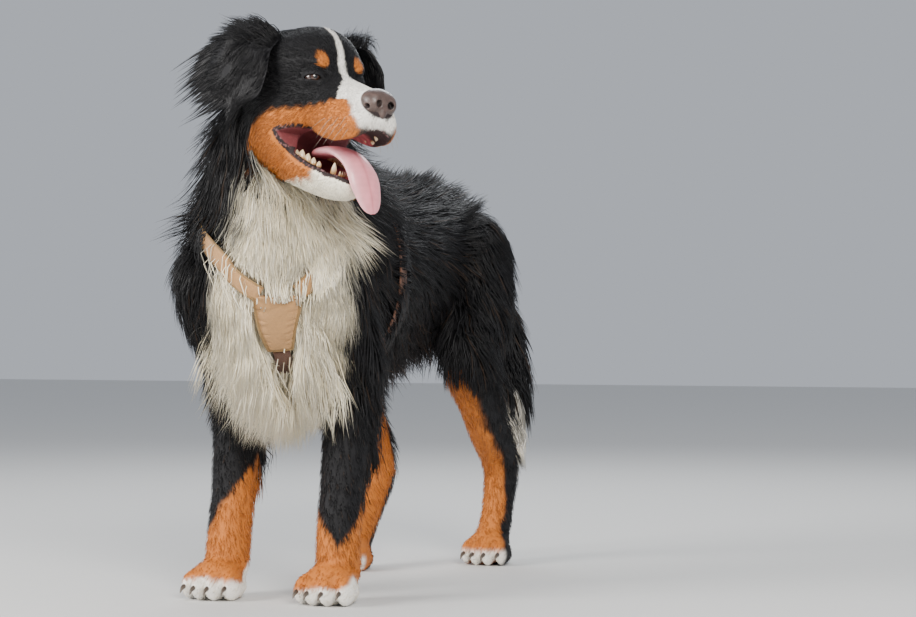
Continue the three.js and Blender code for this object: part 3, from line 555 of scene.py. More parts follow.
# How high the rust and the white reach on each front leg, by the angle from the front: inner side +.
FORE_RUST = {
    1: ([-160, -114, -70, -24, 20, 66, 110], [70, 150, 118, 90, 120, 157, 205]),
    -1: ([-150, -110, -66, -21, 20, 61, 114], [60, 90, 105, 120, 160, 200, 220]),
}
FORE_WHITE = {1: ([-120, -70, -30, 30], [30, 44, 28, 26]), -1: ([-66, 0, 60, 100], [26, 34, 28, 52])}


def ripple(q, size, seed):
    """Smooth noise between about -1 and 1, at a scale in millimetres."""
    rng = np.random.default_rng(seed)
    total = np.zeros(len(q))
    for _ in range(5):
        way = unit(rng.normal(size=3))
        total += np.sin(q @ way * (2 * math.pi / (size * rng.uniform(0.7, 1.5))) + rng.uniform(0, 6.3))
    return total / 2.6


def plain(colour, points):
    return np.tile(colour, (len(points), 1))


def laid(under, colour, amount):
    return mix(under, colour, np.clip(amount, 0, 1)[:, None])


def head_markings(p):
    """Colours of the head's coat, in its own frame."""
    wave = ripple(p, 14, 3)
    colour = plain(BLACK, p)
    side = np.abs(p[:, 0])
    level_at = [-170, -150, -130, -105, -60, -30, 0, 20, 60]
    level = np.interp(p[:, 1], level_at, [-14, -23, -31, -37, -41, -44, -54, -62, -90])
    back = np.interp(p[:, 2], [-160, -125, -80, -60], [22, 34, 40, 30])
    cheek = rise(-5, 5, level - p[:, 2] + 2.5 * wave) * rise(-5, 5, back - p[:, 1] + 3 * wave)
    cheek = cheek * rise(26, 34, side)
    under_jaw = rise(-4, 4, -92 - p[:, 2]) * rise(-6, 6, back - p[:, 1])
    colour = laid(colour, RUST, np.maximum(cheek, under_jaw * rise(20, 30, side)))
    for s in BOTH:
        spot = np.linalg.norm((p - np.array([s * 32.0, -94, 31])) / (9.0, 15, 12), axis=1)
        colour = laid(colour, RUST, rise(-0.25, 0.15, 1 - spot + 0.06 * wave))
    front_at = [-100, -82, -63, -52, -39, -28, -12, 5]
    front = np.interp(p[:, 2], front_at, [-196, -192, -184, -176, -168, -152, -136, -128])
    bridge = np.interp(p[:, 1], [-150, -128, -114, -100, -74, -50, -30], [60, 26, 10.5, 6.5, 4.5, 4.0, -12])
    on_top = rise(-2, 2, bridge - side + wave) * (p[:, 2] > -30)
    muzzle_white = rise(-4, 4, front - p[:, 1] + 2 * wave) * (p[:, 2] > -100)
    colour = laid(colour, WHITE, np.maximum(on_top, muzzle_white))
    speckle = rise(-0.2, 0.9, ripple(p, 5, 8)) * rise(-165, -185, p[:, 1]) * rise(-60, -74, p[:, 2])
    colour = laid(colour, (0.16, 0.09, 0.06), 0.6 * speckle)
    chin = rise(-6, 6, -124 - p[:, 2]) * rise(-84, -98, p[:, 1])
    throat = rise(-4, 6, -142 - p[:, 2] + 3 * wave) * rise(60, 30, p[:, 1])
    colour = laid(colour, CREAM, np.maximum(chin, throat))
    under_nose = egg([0, -184, -37], [26, 21, 22])
    return laid(colour, LIP, rise(2.5, 0.5, under_nose(p)))


def angle_in(q, s, axis_x, axis_y):
    """The angle about a leg's middle line from the front, degrees, inner side +."""
    return np.degrees(np.arctan2(-s * (q[:, 0] - axis_x), -(q[:, 1] - axis_y)))


def body_markings(q):
    """Colours of the rest of the coat, in the dog's frame."""
    wave = ripple(q, 40, 5)
    x, y, z = q.T
    colour = plain(BLACK, q)
    bearing = np.degrees(np.arctan2(x - 30, -(y - 50)))
    right_side = np.interp(z, [350, 400, 450, 500, 560, 600, 650, 700], [-52, -47, -37, -24, -14, -9, -4, 4])
    left_side = np.interp(z, [350, 400, 500, 540, 600, 650, 700], [46, 44, 41, 41, 40, 38, 34])
    within = np.minimum(left_side - bearing, bearing - right_side)
    before_neck = rise(14, -8, y - np.interp(z, [540, 600, 650, 724], [60, -24, -40, -84]))
    bib = rise(-5, 5, within + 4 * wave) * rise(715, 690, z) * before_neck
    colour = laid(colour, CREAM, bib * rise(215, 235, z))
    for s in BOTH:
        on_leg = (forefoot[s](q) < 25) & (z < 330) & (y < 200)
        axis_y = np.interp(z, [0, 50, 110, 270, 340], [-30, -8, 0, 26, 30])
        angle = angle_in(q, s, s * FORE_X, axis_y)
        rust_top = np.interp(angle, *FORE_RUST[s])
        leg = laid(plain(BLACK, q), RUST, rise(-9, 9, rust_top - z + 5 * wave))
        white_top = np.interp(angle, *FORE_WHITE[s])
        leg = laid(leg, WHITE, rise(-5, 5, white_top - z + 3 * wave))
        colour = np.where(on_leg[:, None], laid(leg, CREAM, bib * rise(290, 330, z)), colour)
        stifle, hock, heel, foot_at = hind_plan[s]
        on_leg = (hindfoot[s](q) < 25) & (z < 350) & (y > 300)
        foot_y = foot_at[1]
        levels = [0, 45, 96, 172, 372]
        axis_y = np.interp(z, levels, [foot_y - 20, foot_y - 5, heel[1], hock[1], stifle[1] + 10])
        axis_x = np.interp(z, levels[2:], [heel[0], hock[0], stifle[0]])
        angle = angle_in(q, s, axis_x, axis_y)
        outer_edge = np.interp(z, [50, 125, 240, 330], [-52, -48, -22, -12])
        rust = rise(-10, 10, angle - outer_edge + 6 * wave) * rise(10, -10, angle - 115 + 8 * wave)
        rust = rust * rise(375, 335, z + 10 * wave)
        white_toes = rise(34, 20, z) * rise(-30, -46, y - foot_y)
        leg = laid(laid(plain(BLACK, q), RUST, rust), WHITE, white_toes)
        colour = np.where(on_leg[:, None], leg, colour)
    tail_end = (tail(q) < 30) & (y > 640) & (z < 420)
    white_tip = laid(plain(BLACK, q), WHITE, rise(322, 296, z + 6 * wave))
    return np.where(tail_end[:, None], white_tip, colour)


def mouth_colours(p, colour):
    """Adds the lips' bare edge and the inside of the mouth, darkened towards the throat as painted shade, in
    the head's frame.
    """
    in_jaw = into_jaw(p)
    trough, form = jaw_trough(in_jaw), jaw_form(in_jaw)
    lower = (p[:, 2] < -72) & (trough < 6.5) & (form < 2)
    depth, outer = np.minimum(gape(p), cave(p)), face(p)
    upper = (depth < mix(2.5, 6.5, rise(-112, -84, p[:, 1]))) & (p[:, 1] > -196) & (outer < 2)
    bare = (upper & (outer < -3)) | (lower & (form < -3))
    in_mouth = rise(-3, -7, np.where(lower, form, outer))
    wet = laid(plain(LIP, p), GUM, in_mouth * (0.8 + 0.2 * ripple(p, 9, 4)))
    # Painted shade: the gum is darkened towards the back of the mouth.
    wet = laid(wet, GUM * 0.35, rise(-70, -40, p[:, 1]))
    wet = laid(wet, LIP, rise(-128, -146, p[:, 1]) * rise(-125, -112, p[:, 2]))
    rim = (upper | lower) & ~bare
    speckled = laid(plain(LIP, p), (0.26, 0.13, 0.13), 0.8 * rise(0.45, 1.0, ripple(p, 5, 9)))
    colour = np.where(bare[:, None], wet, colour)
    return np.where(rim[:, None], speckled, colour), bare | rim


def group(name, ins, outs):
    """A group of shader nodes with named sockets. Each socket is (name, kind, value)."""
    tree = bpy.data.node_groups.new(name, "ShaderNodeTree")
    for label, kind, value in ins:
        socket = tree.interface.new_socket(label, in_out="INPUT", socket_type=kind)
        if value is not None:
            socket.default_value = value
    for label, kind in outs:
        tree.interface.new_socket(label, in_out="OUTPUT", socket_type=kind)
    return tree, tree.nodes.new("NodeGroupInput"), tree.nodes.new("NodeGroupOutput")


def math_node(tree, kind, a, b):
    node = tree.nodes.new("ShaderNodeMath")
    node.operation = kind
    for socket, value in zip(node.inputs, (a, b)):
        if isinstance(value, (int, float)):
            socket.default_value = value
        else:
            tree.links.new(value, socket)
    return node.outputs[0]


def make_relief():
    """Fine relief and mottling from noise in the object's own space."""
    tree, given, result = group(
        "Relief",
        [
            ("Scale", "NodeSocketFloat", 300.0),
            ("Stretch", "NodeSocketVector", (1.0, 1.0, 1.0)),
            ("Strength", "NodeSocketFloat", 0.3),
            ("Colour", "NodeSocketColor", None),
            ("Mottle", "NodeSocketFloat", 0.2),
        ],
        [("Normal", "NodeSocketVector"), ("Colour", "NodeSocketColor"), ("Value", "NodeSocketFloat")],
    )
    place = tree.nodes.new("ShaderNodeTexCoord")
    scaled = tree.nodes.new("ShaderNodeVectorMath")
    scaled.operation = "MULTIPLY"
    tree.links.new(place.outputs["Object"], scaled.inputs[0])
    tree.links.new(given.outputs["Stretch"], scaled.inputs[1])
    noise = tree.nodes.new("ShaderNodeTexNoise")
    noise.inputs["Detail"].default_value = 4.0
    tree.links.new(scaled.outputs[0], noise.inputs["Vector"])
    tree.links.new(given.outputs["Scale"], noise.inputs["Scale"])
    bump = tree.nodes.new("ShaderNodeBump")
    bump.inputs["Distance"].default_value = 0.001
    tree.links.new(given.outputs["Strength"], bump.inputs["Strength"])
    tree.links.new(noise.outputs[0], bump.inputs["Height"])
    centred = math_node(tree, "SUBTRACT", noise.outputs[0], 0.5)
    amount = math_node(tree, "MULTIPLY", centred, given.outputs["Mottle"])
    factor = math_node(tree, "ADD", math_node(tree, "MULTIPLY", amount, 2.0), 1.0)
    shade = tree.nodes.new("ShaderNodeVectorMath")
    shade.operation = "SCALE"
    tree.links.new(given.outputs["Colour"], shade.inputs[0])
    tree.links.new(factor, shade.inputs["Scale"])
    tree.links.new(bump.outputs[0], result.inputs["Normal"])
    tree.links.new(shade.outputs[0], result.inputs["Colour"])
    tree.links.new(noise.outputs[0], result.inputs["Value"])
    return tree


relief = make_relief()


def finish(name, colour, roughness, scale, strength, mottle, stretch=(1, 1, 1), **sockets):
    """A material: a colour or the name of a painted layer, with relief and mottling."""
    material = bpy.data.materials.new(name)
    material.use_nodes = True
    tree = material.node_tree
    shader = tree.nodes["Principled BSDF"]
    detail = tree.nodes.new("ShaderNodeGroup")
    detail.node_tree = relief
    for label, value in (("Scale", scale), ("Strength", strength), ("Mottle", mottle), ("Stretch", stretch)):
        detail.inputs[label].default_value = value
    if isinstance(colour, str):
        layer = tree.nodes.new("ShaderNodeAttribute")
        layer.attribute_name = colour
        tree.links.new(layer.outputs["Color"], detail.inputs["Colour"])
    else:
        detail.inputs["Colour"].default_value = (*colour, 1)
    tree.links.new(detail.outputs["Colour"], shader.inputs["Base Color"])
    tree.links.new(detail.outputs["Normal"], shader.inputs["Normal"])
    spread = tree.nodes.new("ShaderNodeMapRange")
    spread.inputs["To Min"].default_value = roughness - 0.07
    spread.inputs["To Max"].default_value = roughness + 0.07
    tree.links.new(detail.outputs["Value"], spread.inputs["Value"])
    tree.links.new(spread.outputs["Result"], shader.inputs["Roughness"])
    for label, value in sockets.items():
        shader.inputs[label.replace("_", " ")].default_value = value
    return material


hide = finish("hide", "Markings_and_shade", 0.62, 900, 0.7, 0.35, (1, 1, 0.35), Specular_IOR_Level=0.25)
body_step, head_step = ((5.0, 1.8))
body_points, body_quads = netted(body_part, (-210, -240, -8), (230, 770, 800), body_step)
keep = (into_head(body_points) - NAPE_AT) @ NAPE_WAY > 8
kept_faces = keep[body_quads].all(1)
body_points[:, 2] = np.maximum(body_points[:, 2], 0.6)
head_local, head_quads = netted(head_part, (-112, -212, -196), (112, 130, 104), head_step)
ears = {s: ear_mesh(s) for s in BOTH}
head_colours, head_bare = mouth_colours(head_local, head_markings(head_local))
skin_points = np.vstack([body_points, out_of_head(head_local), *(out_of_head(ears[s][0]) for s in BOTH)])
starts = np.cumsum([0, len(body_points), len(head_local), len(ears[1][0])])
parts_of_skin = (body_quads[kept_faces], head_quads, ears[1][1], ears[-1][1])
skin_quads = np.vstack([quads + start for quads, start in zip(parts_of_skin, starts)])
ear_colours = [plain(BLACK * 1.2, ears[s][0]) for s in BOTH]
skin_colours = np.vstack([body_markings(body_points), head_colours, *ear_colours])
used = np.unique(skin_quads)
renumber = np.full(len(skin_points), -1)
renumber[used] = np.arange(len(used))
flesh = [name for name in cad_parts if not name.startswith(("eye", "nose", "tongue", "harness"))]
skin = put("skin", skin_points[used], renumber[skin_quads], hide, "black_coat", flesh)
paint(skin, skin_colours[used])

# Eyes. Each is a wet ball with a dark brown iris, set deep under the lids and half shut against the
# light. The front bulges a little, and the iris and pupil are colours on it under a clear wet coat.


SIDE = {1: "left", -1: "right"}


def rings(first, last, rows, columns):
    """The value along, from first to last, and the angle about, for each point of a round form."""
    return pairs(np.linspace(first, last, rows), np.arange(columns) * 2 * math.pi / columns)


def quads_of_rings(rows, columns):
    """Quads of a grid that closes on itself around, with its first and last rows drawn together."""
    i, j = pairs(np.arange(rows - 1), np.arange(columns))
    a, b = i * columns + j, i * columns + (j + 1) % columns
    return np.stack([a, b, b + columns, a + columns], 1)


def eyeball(s):
    rows, columns = 44, 36
    gaze = unit(np.array([s * 0.34, -0.93, 0.02]))
    across = unit(np.cross(gaze, (0.0, 0.0, 1.0)))
    up = np.cross(across, gaze)
    opening, turn = rings(0, math.pi, rows, columns)
    radius = EYE_RADIUS + 0.5 * rise(0.65, 0.25, opening)
    around_gaze = np.cos(turn)[:, None] * across + np.sin(turn)[:, None] * up
    way = np.cos(opening)[:, None] * gaze + np.sin(opening)[:, None] * around_gaze
    points = eye_at[s] + radius[:, None] * way
    streaks = 0.5 + 0.5 * np.sin(turn * 23 + 2 * np.sin(turn * 7)) * rise(0.2, 0.5, opening)
    # The white of the ball is dark brown, darkened further towards its back as painted shade under the lids.
    colour = laid(plain((0.08, 0.056, 0.05), points), (0.04, 0.022, 0.019), rise(0.75, 1.1, opening))
    iris = np.array([0.040, 0.016, 0.008]) * (0.6 + 0.9 * streaks)[:, None]
    colour = np.where((opening < 0.62)[:, None], iris, colour)
    colour = laid(colour, (0.006, 0.004, 0.004), rise(0.52, 0.6, opening) * rise(0.72, 0.66, opening))
    colour = laid(colour, (0.002, 0.002, 0.002), rise(0.25, 0.22, opening))
    quads = quads_of_rings(rows, columns)[:, ::-1]
    ball = put(f"eye_{SIDE[s]}_ball", out_of_head(points), quads, wet_eye, "eye", [f"eye_{SIDE[s]}"])
    paint(ball, colour)


wet_eye = finish("wet_eye", "Markings_and_shade", 0.1, 2500, 0.02, 0.15, Coat_Weight=1.0, Coat_Roughness=0.02)
for s in BOTH:
    eyeball(s)

# Nose leather: moist, pebbled bare skin with a groove down its middle and two comma-shaped nostrils.

nostrils = {
    s: Limb([[s * 9, -210, -35, 4.0], [s * 12, -196, -37, 5.2], [s * 24, -190, -41, 3.0]]) for s in BOTH
}
nose_form = blend(
    7,
    egg([0, -182, -29], [25, 20, 16]),
    *(egg([s * 13.5, -186, -36], [13, 16.5, 14.5]) for s in BOTH),
    egg([0, -187, -48], [9, 14, 12]),
)
nose_groove = Limb([[0, -209, -30, 1.2], [0, -207, -44, 1.5], [0, -203, -62, 1.5]])


def nose_skin(q):
    field = nose_form(q)
    for s in BOTH:
        field = carve(3.0, field, nostrils[s](q))
    return carve(2.0, field, nose_groove(q))


nose_points, nose_quads = netted(nose_skin, (-30, -212, -66), (30, -160, -8), 0.75)
depth_in = np.minimum(nostrils[1](nose_points), nostrils[-1](nose_points))
pebbled = (1 + 0.18 * ripple(nose_points, 9, 12))[:, None]
nose_colours = plain((0.075, 0.046, 0.038), nose_points) * pebbled
# Painted shade: the nostrils are painted near black inside, darkest deepest in the hollows.
nose_colours = laid(nose_colours, (0.012, 0.008, 0.008), rise(1.5, -1.0, depth_in))
leather = finish("nose_leather", "Markings_and_shade", 0.36, 620, 0.8, 0.3, Coat_Weight=0.3, Coat_Roughness=0.25)
nose = put("nose_leather_pad", out_of_head(nose_points), nose_quads, leather, "nose_leather", ["nose"])
paint(nose, nose_colours)

# Tongue: long, soft and wet. It lies in the jaw, comes out over its left front edge and hangs, with
# a groove down its middle, a curled rim and fine buds all over.

TONGUE_HALF = 27.0
tongue_line = [
    [0, -44, -104],
    [0, -74, -100],
    [2, -104, -101],
    [5, -130, -112],
    [9, -146, -130],
    [15, -156, -158],
    [20, -164, -190],
]


def tongue_mesh(rows=76, columns=48):
    t, turn = rings(0.002, 0.998, rows, columns)
    line = smooth_line(tongue_line, 16)
    way = unit(np.gradient(line, axis=0))
    k = t * (len(line) - 1)
    low = np.minimum(k.astype(int), len(line) - 2)
    f = (k - low)[:, None]
    p, along = mix(line[low], line[low + 1], f), unit(mix(way[low], way[low + 1], f))
    across = unit(np.array([1.0, 0, 0]) - along * along[:, :1])
    up = np.cross(along, across) * -1
    edge = np.maximum(0, 1 - (1 - 2 * t) ** 4) ** 0.5
    side, top = np.cos(turn), np.sin(turn)
    half = TONGUE_HALF * mix(0.85, 1.03, t) * (1 + 0.03 * np.sin(t * 19)) * edge
    groove = 1 - 0.75 * np.exp(-((side / 0.16) ** 2)) * (top > 0) * rise(0.98, 0.8, t)
    thick = mix(9.5, 5.0, t) * groove * np.abs(top) ** 0.8 * np.sign(top) * edge
    curl = 3.2 * side**2 * rise(0.25, 0.6, t) * edge
    points = p + across * (side * half)[:, None] + up * (thick + curl - 2 * rise(0.25, 0.6, t))[:, None]
    pink = laid(plain((0.74, 0.27, 0.31), t), (0.83, 0.42, 0.45), rise(0.6, 1.0, np.abs(side)) * 0.7)
    # Painted shade in the groove: a darker stripe down the middle.
    pink = laid(pink, (0.55, 0.14, 0.17), np.exp(-((side / 0.1) ** 2)) * 0.6)
    # Painted shade towards the back of the tongue, inside the mouth.
    pink = laid(pink, (0.35, 0.07, 0.08), rise(0.35, 0.0, t))
    blotch = 1 + 0.06 * ripple(points, 12, 17)
    return points, quads_of_rings(rows, columns), pink * blotch[:, None]


moist = {"Coat_Weight": 0.5, "Coat_Roughness": 0.15, "Subsurface_Weight": 0.12, "Subsurface_Scale": 0.004}
flesh_of_tongue = finish("tongue", "Markings_and_shade", 0.38, 1500, 0.45, 0.15, **moist)
tongue_points, tongue_quads, tongue_colours = tongue_mesh()
tongue = put("tongue_flesh", out_of_head(tongue_points), tongue_quads, flesh_of_tongue, "tongue", ["tongue"])
paint(tongue, tongue_colours)

# Teeth: enamel a little yellow at the gum. The lower canines and incisors stand at the jaw's front,
# the cheek teeth are blades with one high point, and the upper canines hang behind the lip.


def tooth_mesh(at, size, lean, rows=9, columns=14):
    """A tooth: a foot at, half-widths and height in size, and the way that it stands."""
    u, turn = rings(0, 1, rows, columns)
    swell = np.maximum(1 - u**1.7, 0.0) ** 0.75 * (1 + 0.12 * np.sin(u * 3))
    lean = np.array(lean, float)
    flat = np.stack([np.cos(turn) * size[0], np.sin(turn) * size[1], np.zeros(len(u))], 1)
    points = np.array(at, float) + flat * swell[:, None] + lean * (u * size[2])[:, None]
    points += np.array([0, 1.0, 0]) * (0.12 * size[2] * u**2)[:, None]
    return points, quads_of_rings(rows, columns), u


def as_one(parts):
    """One mesh of several, each given as its points, its faces and a share for each point."""
    points, quads, shares = zip(*parts)
    starts = np.cumsum([0] + [len(p) for p in points])
    quads = np.vstack([q + start for q, start in zip(quads, starts)])
    return np.vstack(points), quads, np.concatenate(shares)


def teeth(name, plan, out_of):
    points, quads, shares = as_one([tooth_mesh(*tooth) for tooth in plan])
    made = put(name, out_of(points), quads, enamel, "rust_coat")
    paint(made, laid(plain((0.42, 0.24, 0.10), points), (0.66, 0.54, 0.34), rise(0.1, 0.75, shares)))


enamel = finish("enamel", "Markings_and_shade", 0.22, 900, 0.1, 0.2, Coat_Weight=0.4, Coat_Roughness=0.1)
cheek_teeth = ((-54, 31, 9, 7), (-68, 31, 13, 8.5), (-84, 31, 12, 7.5), (-98, 30, 10, 6), (-110, 28, 8, 4.5))
lower_teeth, upper_teeth = [], []
for s in BOTH:
    for y, x, height, long in cheek_teeth:
        lower_teeth.append(([s * x, y, -91], (3.6, long, height), (0, 0, 1)))
    lower_teeth.append(([s * 19, -136, -93], (4.0, 4.8, 17), (s * 0.12, -0.12, 1)))
    lower_teeth += [([s * x, -142, -94], (2.0, 2.0, 8), (0, -0.1, 1)) for x in (3, 7.5, 12)]
    upper_teeth.append(([s * 24, -156, -72], (4.4, 5.4, 12), (0, 0, -1)))
    for y, height, long in ((-140, 6, 5), (-124, 7, 6), (-106, 8, 7), (-88, 8, 7)):
        upper_teeth.append(([s * 30, y, -66 - 0.30 * (-88 - y)], (3.5, long, height), (0, 0, -1)))
teeth("lower_teeth", lower_teeth, lambda p: out_of_head(out_of_jaw(p)))
teeth("upper_teeth", upper_teeth, out_of_head)

# Claws: blunt, curved horn at the end of each toe, dark and a little worn. Each grows out of its
# toe, and its tip is kept just over the floor.


CLAW_LENGTH, CLAW_RADIUS = 17.5, 4.1


def claw_mesh(root, rows=12, columns=12):
    u, turn = rings(0, 1, rows, columns)
    bend = 1.25 * u
    middle = np.stack([np.zeros(len(u)), -np.sin(bend) * 0.85, (np.cos(bend) - 1) * 0.85], 1) * CLAW_LENGTH
    along = np.stack([np.zeros(len(u)), -np.cos(bend), -np.sin(bend)], 1)
    across = plain((1.0, 0, 0), u)
    up = np.cross(across, along)
    radius = CLAW_RADIUS * (1 - 0.8 * u**1.6) * (1 - u**12)
    spoke = across * np.cos(turn)[:, None] * 0.8 + up * np.sin(turn)[:, None]
    return root + middle + spoke * radius[:, None], quads_of_rings(rows, columns), u


horn = finish("horn", "Markings_and_shade", 0.3, 800, 0.2, 0.4, (1, 0.2, 0.2), Coat_Weight=0.2)
feet = [(s, "fore", s * FORE_X, fore_paw_y[s], FORE_SPREAD) for s in BOTH]
feet += [(s, "hind", *hind_plan[s][3], HIND_SPREAD) for s in BOTH]
for s, which, x, y, spread in feet:
    roots = [np.array([x + n * spread, y - toe_reach(n) - 21, 21.5]) for n in TOES]
    points, quads, shares = as_one([claw_mesh(root) for root in roots])
    points[:, 2] = np.maximum(points[:, 2], 0.8)
    claws = put(f"{which}_claws_{SIDE[s]}", points, quads, horn, "black_coat")
    paint(claws, laid(plain((0.035, 0.026, 0.022), points), (0.13, 0.10, 0.075), shares))

# Harness lines. A walking harness of padded cloth and flat webbing: a plate on the breastbone, two
# straps over the shoulders to a piece on the back, one strap between the front legs, and a girth.

chest = blend(16, body, foreleg[1], foreleg[-1])
PADDING, WEBBING, BEDDING = 7.0, 5.0, 5.0  # height over the coat's core, and depth in it
GIRTH_Y = 150.0
plate_path = [[82, -170, 462], [74, -156, 410], [66, -130, 362]]
left_path = [[112, -156, 468], [136, -130, 510], [134, -60, 590], [80, 30, 660], [16, 96, 690]]
right_path = [[52, -172, 470], [-30, -150, 536], [-104, -60, 600], [-76, 30, 660], [-16, 96, 690]]
breast_path = [[64, -124, 358], [36, -60, 330], [10, 30, 320], [0, GIRTH_Y - 16, 320]]
back_path = [[0, 104, 700], [0, GIRTH_Y + 16, 700]]


def girth_point(s, k):
    """A point on a ring about the trunk, a share k of the way up from the belly on one side."""
    angle, radius = k * math.pi, 190
    return [radius * math.sin(s * angle), GIRTH_Y, 506 - radius * math.cos(angle)]


def even_line(knots, count):
    """Evenly spaced points on a smooth line."""
    fine = smooth_line(knots, 24)
    run = np.concatenate([[0], np.cumsum(np.linalg.norm(np.diff(fine, axis=0), axis=1))])
    at = np.linspace(0, run[-1], count)
    return np.stack([np.interp(at, run, fine[:, i]) for i in range(3)], 1)


def settle(field, points):
    """Moves points onto a form."""
    for _ in range(4):
        way, d = outward(field, points)
        points = points - way * d[:, None]
    return points


class Band:
    """A flat band on a form: its middle line, its widths and which way is across and out."""

    def __init__(self, field, knots, width, width_end, count=40):
        self.field = field
        self.line = settle(field, even_line(knots, count))
        self.width = np.linspace(width, width_end, count)
        self.along = unit(np.gradient(self.line, axis=0))
        self.out = outward(field, self.line)[0]
        self.across = unit(np.cross(self.along, self.out))

    def place(self, t, side, height):
        """Points at a share t of the length, side from -1 to 1 across and a height over the form."""
        at = np.clip(t, 0, 1) * (len(self.line) - 1)
        k = np.minimum(at.astype(int), len(self.line) - 2)
        f = (at - k)[:, None]
        pick = lambda rows: mix(rows[k], rows[k + 1], f)
        half = mix(self.width[k], self.width[k + 1], f[:, 0]) / 2
        p = pick(self.line) + unit(pick(self.across)) * (side * half)[:, None]
        for _ in range(3):
            way, d = outward(self.field, p)
            p = p - way * d[:, None]
        return p + unit(pick(self.out)) * height[:, None]


plate = Band(chest, plate_path, 80, 38)
straps = {1: Band(chest, left_path, 26, 26), -1: Band(chest, right_path, 26, 26)}
breast_strap = Band(body, breast_path, 26, 24)
back_piece = Band(body, back_path, 60, 60, 12)
girth_shares = (0.02, 0.2, 0.4, 0.6, 0.8, 0.94)
girths = {s: Band(body, [girth_point(s, k) for k in girth_shares], 28, 28) for s in BOTH}
bands = [plate, straps[1], straps[-1], breast_strap, back_piece, girths[1], girths[-1]]

# Harness pieces. The plate and the back piece are padded cloth with a corded edge and a stitched
# margin, the shoulder straps are folded cloth with corded edges, and the rest is flat webbing.


def make_weave():
    """Threads that cross, over and under, in the cloth's own coordinates, with painted shade where they dip.
    """
    tree, given, result = group(
        "Weave",
        [
            ("Threads", "NodeSocketFloat", 900.0),
            ("Ribs", "NodeSocketFloat", 1.0),
            ("Strength", "NodeSocketFloat", 0.4),
            ("Colour", "NodeSocketColor", None),
            ("Normal", "NodeSocketVector", None),
        ],
        [("Normal", "NodeSocketVector"), ("Colour", "NodeSocketColor")],
    )
    place = tree.nodes.new("ShaderNodeUVMap")
    place.uv_map = "Cloth"
    parts = tree.nodes.new("ShaderNodeSeparateXYZ")
    tree.links.new(place.outputs["UV"], parts.inputs[0])
    threads = []
    for axis, factor in (("X", 1.0), ("Y", given.outputs["Ribs"])):
        turns = math_node(tree, "MULTIPLY", parts.outputs[axis], given.outputs["Threads"])
        turns = math_node(tree, "MULTIPLY", turns, factor)
        threads.append(math_node(tree, "SINE", turns, 0.0))
    height = math_node(tree, "MULTIPLY", threads[0], threads[1])
    bump = tree.nodes.new("ShaderNodeBump")
    bump.inputs["Distance"].default_value = 0.0006
    tree.links.new(given.outputs["Strength"], bump.inputs["Strength"])
    tree.links.new(height, bump.inputs["Height"])
    tree.links.new(given.outputs["Normal"], bump.inputs["Normal"])
    # Painted shade: the colour is darker where the threads dip and lighter where they stand high.
    factor = math_node(tree, "ADD", math_node(tree, "MULTIPLY", height, 0.13), 1.0)
    shade = tree.nodes.new("ShaderNodeVectorMath")
    shade.operation = "SCALE"
    tree.links.new(given.outputs["Colour"], shade.inputs[0])
    tree.links.new(factor, shade.inputs["Scale"])
    tree.links.new(bump.outputs[0], result.inputs["Normal"])
    tree.links.new(shade.outputs[0], result.inputs["Colour"])
    return tree


weave = make_weave()


def woven(name, colour, roughness, threads, ribs, strength, **sockets):
    material = finish(name, colour, roughness, 260, 0.35, 0.22, **sockets)
    tree = material.node_tree
    shader = tree.nodes["Principled BSDF"]
    detail = next(node for node in tree.nodes if node.type == "GROUP")
    cloth = tree.nodes.new("ShaderNodeGroup")
    cloth.node_tree = weave
    for label, value in (("Threads", threads), ("Ribs", ribs), ("Strength", strength)):
        cloth.inputs[label].default_value = value
    tree.links.new(detail.outputs["Colour"], cloth.inputs["Colour"])
    tree.links.new(detail.outputs["Normal"], cloth.inputs["Normal"])
    tree.links.new(cloth.outputs["Colour"], shader.inputs["Base Color"])
    tree.links.new(cloth.outputs["Normal"], shader.inputs["Normal"])
    return material


tan_cloth = woven("tan_cloth", (0.45, 0.235, 0.085), 0.6, 5200, 1.0, 0.5, Sheen_Weight=0.15)
edge_cloth = woven("edge_cloth", (0.27, 0.155, 0.05), 0.6, 4200, 1.0, 0.5, Sheen_Weight=0.1)
webbing_cloth = woven("webbing", (0.15, 0.06, 0.032), 0.66, 2600, 1.6, 0.9, Sheen_Weight=0.15)
thread = finish("thread", (0.52, 0.33, 0.16), 0.6, 2500, 0.5, 0.3)
dark_thread = finish("dark_thread", (0.10, 0.045, 0.026), 0.6, 2500, 0.5, 0.3)


def band_length(band):
    return np.linalg.norm(np.diff(band.line, axis=0), axis=1).sum()


def unfold(thing, name, uv):
    """A map for a mesh, given by a place on it for each point."""
    layer = thing.data.uv_layers.new(name=name)
    corners = np.zeros(len(thing.data.loops), np.int32)
    thing.data.loops.foreach_get("vertex_index", corners)
    layer.data.foreach_set("uv", uv[corners].astype(np.float32).ravel())


def laid_band(name, band, top, bottom, cloth, replaced, rows, columns):
    """A closed band. top and bottom give the height over the form from the share along and across."""
    t, side = pairs(np.linspace(0, 1, rows), np.linspace(-1, 1, columns))
    upper, lower = band.place(t, side, top(t, side)), band.place(t, side, bottom(t, side))
    upper_quads = sheet_of_quads(rows, columns)
    rim = np.concatenate(
        [
            np.arange(columns),
            np.arange(1, rows) * columns + columns - 1,
            (rows - 1) * columns + np.arange(columns - 2, -1, -1),
            np.arange(rows - 2, 0, -1) * columns,
        ]
    )
    after = np.roll(rim, -1)
    n = rows * columns
    wall = np.stack([rim, rim + n, after + n, after], 1)
    quads = np.vstack([upper_quads, upper_quads[:, ::-1] + n, wall])
    thing = put(name, np.vstack([upper, lower]), quads, *cloth, replaced)
    half = np.interp(t, np.linspace(0, 1, len(band.width)), band.width) / 2
    unfold(thing, "Cloth", np.tile(np.stack([t * band_length(band), side * half], 1) * 0.001, (2, 1)))
    return thing


